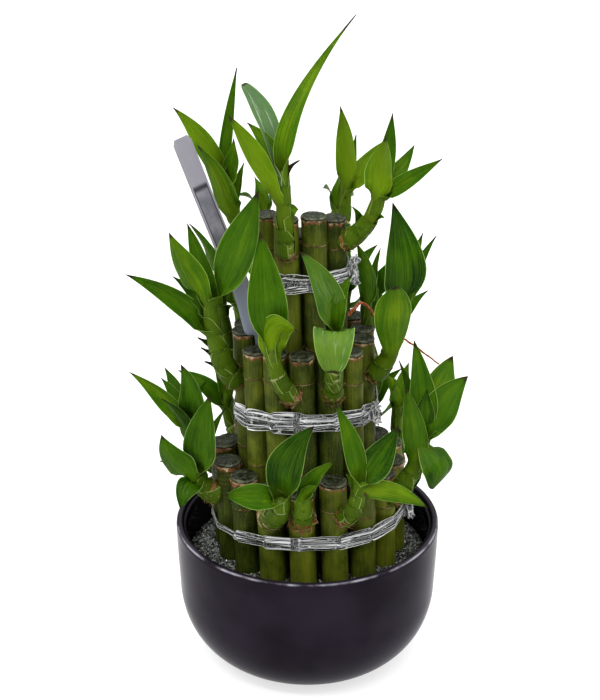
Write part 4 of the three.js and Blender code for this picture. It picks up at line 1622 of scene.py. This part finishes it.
    def add_sheaths(self, skin: Skin) -> list[LeafPlan]:
        """Wrap the stem in old sheaths.

        Args:
            skin: Mesh that they join.

        Returns:
            Plans of their withered tips.
        """
        tips = []
        length = self.stem.length()
        top = min(leaf.along for leaf in self.leaves if leaf.width > self.narrow) - self.room / length
        low = 0.14
        while low + self.room / length < top:
            high = min(low + self.draw.uniform(6.5, 10) / length, top)
            self.add_cup(skin, low, high, 22, self.draw.uniform(0.14, 0.24), 0.1, self.draw.uniform(1.2, 2.8),
                         ShootFinish.STEM, self.plan.tone + self.draw.uniform(-0.12, 0.12))
            low = high - 1.2 / length
            way = turned(square_to(UP, self.stem.tangent(high)), self.stem.tangent(high),
                         self.draw.uniform(0, 360))
            reach = self.stem.tangent(high) * self.draw.uniform(5, 7.5) + way * self.draw.uniform(2.0, 3.6)
            tips.append(LeafPlan(high, *reach, self.draw.uniform(1.8, 2.6), arch=1.0, shade=0.4, taper=0.6,
                                 drawn=1.2, browned=0.65))
        return tips

    def add_husks(self, skin: Skin) -> None:
        """Add the dried scales and fibres at the bud.

        Args:
            skin: Mesh that they join.
        """
        length = self.stem.length()
        for step in range(4):
            low = (self.sunk + 0.2 + 1.5 * step) / length
            high = low + self.draw.uniform(1.8, 2.8) / length
            self.add_cup(skin, low, high, 26, self.draw.uniform(0.25, 0.5), 0.5, self.draw.uniform(0.4, 1.2),
                         ShootFinish.HUSK, self.plan.husk + self.draw.uniform(-0.25, 0.25))
        grow = mix(0.8, 1.5, self.plan.husk)
        for _ in range(int(16 + 50 * self.plan.husk)):
            t = (self.sunk + self.draw.uniform(-0.8, 4.5)) / length
            way = turned(square_to(UP, self.stem.tangent(t)), self.stem.tangent(t), self.draw.uniform(0, 360))
            start = self.stem.point(t) + way * self.girth(t)
            side = np.cross(way, self.stem.tangent(t)) * self.draw.uniform(-2.4, 2.4)
            rise = self.stem.tangent(t) * self.draw.uniform(-0.8, 2.2)
            end = start + (way * self.draw.uniform(0.3, 1.3) + side + rise) * grow
            thick = self.draw.uniform(0.12, 0.24) * grow
            add_fibre(skin, Arc(start, (start + end) / 2 + way * 0.5 * grow, end), thick,
                      ShootFinish.HUSK.value, self.draw.uniform(-0.3, 1.0))

    def blade_frame(self, leaf: LeafPlan, t: np.ndarray, curve: Arc, base_out: np.ndarray) -> np.ndarray:
        """Outward direction of a blade's sections: from the stem at its base, then the way it faces.

        Args:
            leaf: Plan of the blade.
            t: Shares of its length.
            curve: Its middle line.
            base_out: Outward direction at its base.

        Returns:
            One direction a section.
        """
        chord = unit(leaf.reach())
        tilt = math.radians(self.face_tilt)
        facing = turned(compass(self.plan.face) * math.cos(tilt) + UP * math.sin(tilt), chord, leaf.roll)
        tangent = curve.tangent(t)
        first = curve.tangent(0.0)
        start = square_to(base_out, first)
        carried = start - (tangent @ start / (1 + tangent @ first))[:, None] * (first + tangent)
        across = np.cross(tangent, carried)
        seen = np.linalg.norm(facing - (tangent @ facing)[:, None] * tangent, axis=1) * (t > 0.25)
        best = int(np.argmax(seen))
        turn = math.atan2(facing @ across[best], facing @ carried[best])
        turn = (turn + math.pi / 2) % math.pi - math.pi / 2
        angle = (turn * smooth(0.0, leaf.opens * 1.3, t))[:, None]
        return carried * np.cos(angle) + across * np.sin(angle)

    def add_blade(self, skin: Skin, leaf: LeafPlan, order: int) -> None:
        """Add a blade: a thin sheet, rolled round the stem below and unrolled above.

        Args:
            skin: Mesh that it joins.
            leaf: Its plan.
            order: Its place among the shoot's blades, from the innermost.
        """
        draw, t, wrapped = self.draw, BLADE_SECTIONS, len(self.sheath_lifts)
        start, reach = self.stem.point(leaf.along), leaf.reach()
        chord = unit(reach)
        middle = start + reach * leaf.bend + 2 * leaf.arch * square_to(UP, chord)
        curve = Arc(start, middle, start + reach)
        stem_way = self.stem.tangent(leaf.along)
        lean = mix(chord, curve.tangent(0.0), 0.5) if leaf.seat is None else compass(leaf.seat)
        base_out = square_to(lean, stem_way)
        lift = self.first_sheath + self.next_sheath * order
        seat = float(self.girth(leaf.along)) + lift
        sheath = np.linspace(-1, 0, wrapped + 1)[:-1]
        below = np.clip(leaf.along + sheath * draw.uniform(7, 11) / self.stem.length(), 0.1, 1)
        leaving = mix(1.0, leaf.opens * 1.2, smooth(0.7, 0.92, leaf.along))
        held = 1 - smooth(0.0, leaving, t)[:, None]
        twist = draw.uniform(25, 55) * draw.choice((-1, 1))
        wound = np.array([turned(base_out, stem_way, twist * -step) for step in sheath])
        out = np.vstack([square_to(wound, self.stem.tangent(below)),
                         self.blade_frame(leaf, t, curve, base_out)])
        tangent = np.vstack([self.stem.tangent(below), unit(mix(
            np.broadcast_to(stem_way, (len(t), 3)), curve.tangent(t), smooth(0, 0.12, t)[:, None]))])
        out = square_to(out, tangent)
        wrap = self.girth(below) + lift * np.array(self.sheath_lifts)
        centre = np.vstack([self.stem.point(below) + out[:wrapped] * wrap[:, None],
                            curve.point(t) + out[wrapped:] * seat * held])
        across = np.cross(tangent, out)
        half, roll = self.blade_widths(leaf, seat, wrap)
        along = np.concatenate([np.zeros(wrapped), t])
        s = np.array(self.columns)
        theta = s * roll[:, None]
        bend = (half / roll)[:, None]
        normal = across[:, None] * np.sin(theta)[..., None] + out[:, None] * np.cos(theta)[..., None]
        relief = self.blade_relief(leaf, along, half)[..., None] * out[:, None]
        sheet = (centre[:, None] + across[:, None] * (bend * np.sin(theta))[..., None]
                 - out[:, None] * (bend * (1 - np.cos(theta)))[..., None] + relief)
        thick = (mix(*self.thickness, s ** 2) * mix(1.0, 0.4, along ** 2)[:, None])[..., None] / 2
        rings = np.concatenate([sheet + normal * thick, (sheet - normal * thick)[:, ::-1]], axis=1)
        tone = np.clip(self.plan.tone + leaf.shade + draw.uniform(-0.07, 0.07), 0.02, 0.98)
        brighter_outside = np.repeat([-0.12, 0.0], len(s))
        dry = smooth(1 - leaf.browned * 1.4, 1 - leaf.browned * 0.6, along)
        skin.loft(rings, {Mark.ALONG: along[:, None], Mark.ACROSS: np.concatenate([s, s[::-1]])[None],
                          Mark.TONE: (tone + brighter_outside)[None], Mark.DRY: dry[:, None],
                          Mark.BLOOM: leaf.bloom}, ShootFinish.BLADE.value)

    def blade_widths(self, leaf: LeafPlan, seat: float, wrap: np.ndarray) -> tuple[np.ndarray, np.ndarray]:
        """Half widths of a blade's sections, those of its sheath first, and how far they curl.

        Args:
            leaf: Plan of the blade.
            seat: Radius round which its base curls.
            wrap: Radius round which each section of its sheath curls.

        Returns:
            The half widths along the skin, and the curl from middle to margin in radians.
        """
        t = BLADE_SECTIONS
        sheath_roll, base_roll, open_roll = self.rolls
        curled = np.linspace(sheath_roll, base_roll, len(wrap) + 1)[:-1]
        opened = smooth(0.0, leaf.opens, t)
        flat = (leaf.width / 2 * np.sin(np.pi * t ** leaf.taper) ** leaf.drawn
                + self.base_width / 2 * (1 - t) ** 4)
        flat = np.maximum(flat, self.least_half * (1 - t) ** 0.35)
        half = np.concatenate([wrap * curled, mix(seat * base_roll, flat, opened)])
        return half, np.concatenate([curled, mix(base_roll, open_roll, opened)])

    def blade_relief(self, leaf: LeafPlan, along: np.ndarray, half: np.ndarray) -> np.ndarray:
        """Relief of a blade's sheet: fluttering margins, a middle rib and a fold along it.

        Args:
            leaf: Plan of the blade.
            along: Share of its length of each section.
            half: Half width of each section.

        Returns:
            How far each point stands out of the sheet.
        """
        draw, s = self.draw, np.array(self.columns)
        flutter = draw.uniform(0.15, 0.55) * np.sin(TURN * (along * draw.uniform(1.1, 2.4) + draw.uniform()))
        flutter = flutter * smooth(0.2, 0.45, along) * np.minimum(half / 4, 1)
        fold = draw.uniform(*self.fold) * half * smooth(leaf.opens, leaf.opens + 0.2, along)
        rib = self.keel[0] * np.exp(-(s / self.keel[1]) ** 2) * smooth(0.1, 0.3, along)[:, None]
        return flutter[:, None] * s * np.abs(s) + rib - fold[:, None] * np.hypot(s, 0.08)


# Ties

@dataclass(frozen=True)
class Tie:
    """Crumpled film pulled round a tier, with a twisted knot and frilled ends.

    Attributes:
        name: Its name.
        tier: The tier that it holds.
        side: Height of its middle line at the left and behind.
        lift: How much higher it runs in front.
        pull: How much higher it runs at the right.
        height: Height of the film.
        knot_bearing: Bearing of the knot.
        tail: Length of the knot's upper end.
        seed: Draw of its wrinkles and its knot.
        left_share: Share of its height that the film keeps at the left.
        off_cane: How far its line stands off the canes.
        strips: Lower and upper edge of each strip as shares of the height, and how far out it lies.
        half_thickness: Half the film's thickness.
    """

    name: str
    tier: Tier
    side: float
    lift: float
    pull: float
    height: float
    knot_bearing: float
    tail: float
    seed: int
    left_share: float = 1.0
    off_cane: float = 0.45
    strips: tuple[tuple[float, float, float], ...] = ((-0.5, 0.5, 0.0), (-0.3, 0.34, 0.45))
    half_thickness: float = 0.05

    def level(self, bearing: np.ndarray | float) -> np.ndarray:
        """Height of the middle line.

        Args:
            bearing: Bearings at which it is wanted.

        Returns:
            The height at each bearing.
        """
        angle = np.radians(bearing)
        return (self.side + self.lift * np.maximum(0, np.cos(angle)) ** 1.5
                + self.pull * np.maximum(0, np.sin(angle)) ** 2)

    def on_cane(self, number: int, turn: float) -> tuple[np.ndarray, np.ndarray]:
        """Where the band's line passes a cane.

        Args:
            number: The cane's number.
            turn: How far round the cane from its outermost side, in degrees.

        Returns:
            The point, and the direction outwards from the cane there.
        """
        bearing = self.tier.cane_bearing(number)
        out = compass(bearing + turn)
        middle = self.tier.cane_middle(number, float(self.level(bearing)))
        return middle + out * (self.tier.radius + self.off_cane), out

    def path(self) -> tuple[np.ndarray, np.ndarray]:
        """The band's line round the canes and straight from each to the next.

        Returns:
            Its points and its outward directions.
        """
        step = 180 / self.tier.count
        points, outs = [], []
        for number in range(self.tier.count):
            for turn in np.linspace(-step, step, 7):
                here, out = self.on_cane(number, turn)
                points.append(here)
                outs.append(out)
            there, _ = self.on_cane(number + 1, -step)
            for share in (0.25, 0.5, 0.75):
                points.append(mix(here, there, share))
                outs.append(out)
        return np.array(points), np.array(outs)

    def build(self, film: bpy.types.Material) -> bpy.types.Object:
        """Make the tie, which replaces its solid.

        Args:
            film: Its finish.

        Returns:
            The piece.
        """
        draw = np.random.default_rng(self.seed)
        points, outs = self.path()
        skin = Skin(f"film_{self.name}")
        for strip, (low, high, off) in enumerate(self.strips):
            self.add_strip(skin, points, outs, low * self.height, high * self.height, off,
                           self.seed + strip, draw.uniform())
        self.add_knot(skin, draw)
        return skin.dress([film], 60, [f"tie_{self.name}"])

    def add_strip(self, skin: Skin, points: np.ndarray, outs: np.ndarray, low: float, high: float, off: float,
                  seed: int, tone: float) -> None:
        """Add one wrinkled strip of film, thin and closed on itself.

        Args:
            skin: Mesh that it joins.
            points: The band's line.
            outs: Outward directions along it.
            low: Lower edge from the middle line.
            high: Upper edge from the middle line.
            off: How far it stands outside the line.
            seed: Draw of its wrinkles.
            tone: Its tone.
        """
        count = len(points)
        around = np.arange(count) / count
        circle = np.cos(around * TURN)[:, None], np.sin(around * TURN)[:, None]
        share = np.linspace(0, 1, 15)[None]
        height = mix(low, high, share) + 0.5 * waves(seed, circle[0] * 2.2, circle[1] * 2.2) * (share * 2 - 1)
        height = height * mix(1.0, self.left_share, smooth(0.3, 0.9, -outs[:, :1]))
        crease = waves(seed + 50, circle[0] * 1.6, circle[1] * 1.6, share * (high - low) / 1.8, count=9)
        depth = off + 0.24 * np.clip(crease, -1, 2)
        sheet = points[:, None] + outs[:, None] * depth[..., None] + UP * height[..., None]
        half = outs[:, None] * self.half_thickness
        rings = np.concatenate([sheet + half, (sheet - half)[:, ::-1]], axis=1)
        across = np.concatenate([share[0], share[0][::-1]])[None]
        # Painted highlights on the crumples' crests, carried in the dry mark
        dry = np.clip(crease - 1.4, 0, 1) * 0.8
        skin.loft(rings, {Mark.ALONG: around[:, None], Mark.ACROSS: across, Mark.TONE: tone,
                          Mark.DRY: np.concatenate([dry, dry[:, ::-1]], axis=1)}, closed=True)

    def add_knot(self, skin: Skin, draw: np.random.Generator) -> None:
        """Add the twisted knot and its frilled ends.

        Args:
            skin: Mesh that they join.
            draw: Random draws of the tie.
        """
        out, side = compass(self.knot_bearing), compass(self.knot_bearing + 90)
        z = float(self.level(self.knot_bearing))
        seat = tower_middle(z) + out * (self.tier.ring + self.tier.radius + 1.8)
        tails = [
            (seat - UP * 3.2 - side * 1.0, seat + out * 0.8, seat + UP * 3.0 + side * 0.8, 2.4, 2.6),
            (seat + UP * 2.0, seat + UP * self.tail * 0.6 + out * 1.6, seat + UP * self.tail
             + out * 2.4 - side * 3.0, 1.2, 2.6),
            (seat - UP * 1.0, seat - UP * 3.0 + out * 1.8, seat - UP * 5.0 + out * 1.6 + side * 2.4,
             1.2, 2.2),
            (seat + side * 1.0, seat + side * 3.0 + out * 1.2, seat + side * 4.6 - UP * 2.0 + out * 0.8,
             1.1, 1.7),
        ]
        sides = 30
        angle, t = angles_round(sides), np.linspace(0, 1, 16)
        for start, elbow, end, narrow, wide in tails:
            arc = Arc(start, elbow, end)
            pleats = np.cos(angle * int(draw.integers(4, 7)) + t[:, None] * draw.uniform(3, 7))
            radii = mix(narrow, wide, np.sin(t * 2.3) ** 2)[:, None] * (0.68 + 0.32 * pleats)
            radii = radii + 0.18 * waves(int(draw.integers(1 << 30)), np.cos(angle) * 2, t[:, None] * 4)
            rings = rings_about(arc.point(t), arc.tangent(t), side, np.maximum(radii, 0.15), sides)
            # The pleats' crests carry painted highlights, in the dry mark
            skin.loft(rings, {Mark.ALONG: t[:, None] * 0.08, Mark.ACROSS: (angle / TURN)[None],
                              Mark.TONE: draw.uniform(), Mark.DRY: np.clip(pleats, 0, 1) * 0.9})


TIES = (
    Tie("lower", TIERS["outer"], 72.5, 8, 6, 7.4, 76, 6, 31, 0.45),
    Tie("middle", TIERS["middle"], 127.5, 6.6, 2, 9.4, 62, 6, 32),
    Tie("upper", TIERS["inner"], 193.5, 1.3, 1, 8.6, 72, 9, 33),
)


# The plastic label and the aerial root

@dataclass(frozen=True)
class PlantLabel:
    """Bare plastic label on a stake."""

    thickness: float = 0.8
    width: float = 8.4
    stake_width: float = 2.0
    turn: float = 24.0
    widens: tuple[float, float] = (0.3, 0.42)
    corner: float = 1.1
    corner_from: float = 0.985
    sections: int = 90
    route: tuple[tuple[float, ...], ...] = (
        (-21, -8.8, 120), (-21.8, -8.8, 145), (-22.7, -9.4, 165), (-24.7, -10.9, 171.5), (-28.6, -11.8, 188),
        (-35.4, -12.9, 207), (-44.3, -13.9, 232), (-53.3, -14.4, 257.5))

    def build(self, plastic: bpy.types.Material) -> bpy.types.Object:
        """Make the label, which replaces its solid.

        Args:
            plastic: Its finish.

        Returns:
            The piece.
        """
        line = through(self.route, self.sections)
        way = unit(np.gradient(line, axis=0))
        across = square_to(np.broadcast_to(-compass(90 + self.turn), line.shape), way)
        normal = np.cross(way, across)
        t = np.linspace(0, 1, self.sections)
        half = mix(self.stake_width, self.width, smooth(*self.widens, t)) / 2
        half = half - self.corner * smooth(self.corner_from, 1.0, t) ** 2
        section = np.array([(-1, -0.6), (-0.96, -1), (-0.5, -1), (0, -1), (0.5, -1), (0.96, -1), (1, -0.6),
                            (1, 0.6), (0.96, 1), (0.5, 1), (0, 1), (-0.5, 1), (-0.96, 1), (-1, 0.6)])
        rings = (line[:, None] + across[:, None] * (half[:, None] * section[None, :, 0])[..., None]
                 + normal[:, None] * (self.thickness / 2 * section[None, :, 1])[..., None])
        skin = Skin("label_strip")
        skin.loft(rings, {Mark.ALONG: t[:, None], Mark.ACROSS: section[None, :, 0]})
        return skin.dress([plastic], 60, ["plant_label"])


@dataclass(frozen=True)
class AerialRoot:
    """Knobbly orange root that crosses over to the right."""

    radius: float = 0.8
    taper: float = 0.55
    wander: float = 0.25
    lumps: float = 0.14
    seed: int = 61
    sections: int = 110
    sides: int = 12
    route: tuple[tuple[float, ...], ...] = (
        (18, -7.9, 175.5), (20.5, -7.2, 178.2), (24.5, -4, 179.6), (29, -1, 174), (33, 2.5, 167),
        (38, 7, 161), (46, 10.5, 155.5), (54, 12.5, 148.5), (61.5, 13.5, 142.5))

    def build(self, bark: bpy.types.Material) -> bpy.types.Object:
        """Make the root, which replaces its solid.

        Args:
            bark: Its finish.

        Returns:
            The piece.
        """
        t = np.linspace(0, 1, self.sections)
        aside = np.stack([waves(self.seed + k, t * 9) for k in range(3)], axis=-1)
        line = through(self.route, self.sections) + self.wander * aside * smooth(0, 0.1, t)[:, None]
        way = unit(np.gradient(line, axis=0))
        around = np.cos(angles_round(self.sides)) * 0.5
        lumps = 1 + self.lumps * waves(self.seed + 3, t[:, None] * 22, around)
        radii = (self.radius * (1 - self.taper * t))[:, None] * lumps
        skin = Skin("orange_root")
        skin.loft(rings_about(line, way, UP, radii, self.sides), {Mark.ALONG: t[:, None]})
        return skin.dress([bark], 70, ["aerial_root"])


# Studio

@dataclass(frozen=True)
class SoftLight:
    """Oblong area light: its place, what it points at and its size in metres, and its power in watts."""

    name: str
    place: tuple[float, float, float]
    aim: tuple[float, float, float]
    width: float
    height: float
    power: float

    def build(self) -> None:
        """Hang the light."""
        lamp = bpy.data.lights.new(self.name, "AREA")
        lamp.shape = "RECTANGLE"
        lamp.size, lamp.size_y, lamp.energy = self.width, self.height, self.power
        light = bpy.data.objects.new(self.name, lamp)
        light.location = self.place
        light.rotation_euler = (Vector(self.aim) - Vector(self.place)).to_track_quat("-Z", "Y").to_euler()
        bpy.context.scene.collection.objects.link(light)


@dataclass(frozen=True)
class Studio:
    """Pale floor, soft light and the photograph's camera, in metres."""

    camera_place: tuple[float, float, float] = (-0.0035, -0.5855, 0.405)
    camera_pitch: float = 66.9
    lens: float = 72.0
    floor_half: float = 6.0
    room_low: float = 0.12
    room_high: float = 1.9
    lights: tuple[SoftLight, ...] = (
        SoftLight("key_light", (-0.2, -0.7, 1.1), (0.0, 0.0, 0.15), 0.9, 0.035, 4.6),
        SoftLight("left_softbox", (-1.0, -0.25, 0.35), (0.0, 0.0, 0.08), 0.35, 1.0, 1.5),
        SoftLight("right_softbox", (1.0, -0.15, 0.35), (0.0, 0.0, 0.08), 0.35, 1.0, 1.5))

    def build(self) -> None:
        """Set the stage."""
        scene = bpy.context.scene
        scene.view_settings.view_transform = "Standard"
        scene.view_settings.look = "Medium High Contrast"
        self.add_floor()
        self.add_world()
        for light in self.lights:
            light.build()
        lens = bpy.data.cameras.new("photo_camera")
        lens.lens = self.lens
        camera = bpy.data.objects.new("photo_camera", lens)
        camera.location = self.camera_place
        camera.rotation_euler = (math.radians(self.camera_pitch), 0, 0)
        scene.collection.objects.link(camera)
        scene.camera = camera

    def add_floor(self) -> None:
        """Lay the floor."""
        half = self.floor_half
        mesh = bpy.data.meshes.new("studio_floor")
        mesh.from_pydata([(-half, -half, 0), (half, -half, 0), (half, half, 0), (-half, half, 0)], [],
                         [(0, 1, 2, 3)])
        mesh.materials.append(Backdrop().build())
        floor = bpy.data.objects.new("studio_floor", mesh)
        bpy.context.scene.collection.objects.link(floor)

    def add_world(self) -> None:
        """Light the room from above, darker towards the horizon."""
        world = bpy.data.worlds.new("studio_room")
        world.use_nodes = True
        world.node_tree.nodes.clear()
        pen = NodePen(world.node_tree)
        height = pen.add("SeparateXYZ", {0: pen.add("TexCoord").outputs["Generated"]}).outputs["Z"]
        glow = pen.rise(height, 0.1, 0.85, self.room_low, self.room_high)
        room = pen.add("Background", {"Color": (1.0, 1.0, 1.0, 1.0), "Strength": glow})
        world.node_tree.links.new(room.outputs[0], pen.add("OutputWorld").inputs[0])
        bpy.context.scene.world = world


@dataclass
class Plant:
    """The whole plant in its bowl.

    Attributes:
        old_canes: Tier and number of the canes whose tops are a stack of close rings.
        seed_step: How far apart the tiers' first seeds are.
        shoot_seed: Seed of the first shoot.
    """

    old_canes: tuple[tuple[str, int], ...] = (("outer", 12), ("outer", 13), ("outer", 14), ("outer", 15))
    seed_step: int = 100
    shoot_seed: int = 1000

    def build(self) -> None:
        """Build every sub-assembly in order."""
        bowl = Bowl()
        bowl.build(Glaze().build())
        Gravel(bowl).build(Crystal().build(), PaintedGravelShade().build())
        bark, wax, husk = Bark().build(), Wax().build(), Husk().build()
        for row, tier in enumerate(TIERS.values()):
            for number in range(tier.count):
                cane = Cane(tier, number, self.seed_step * row + number)
                cane.build(bark, wax, husk, (tier.name, number) in self.old_canes)
        blade, stem = Blade().build(), Stem().build()
        for number, plan in enumerate([*SHOOTS, *RearRule().shoots()]):
            Shoot(plan, self.shoot_seed + number).build(blade, stem, husk)
        film = Film().build()
        for tie in TIES:
            tie.build(film)
        PlantLabel().build(LabelPlastic().build())
        AerialRoot().build(RootBark().build())


def main() -> None:
    """Build the plant and the studio."""
    logging.basicConfig(level=logging.INFO, format="%(name)s: %(message)s")
    Plant().build()
    Studio().build()


if __name__ == "__main__":
    main()
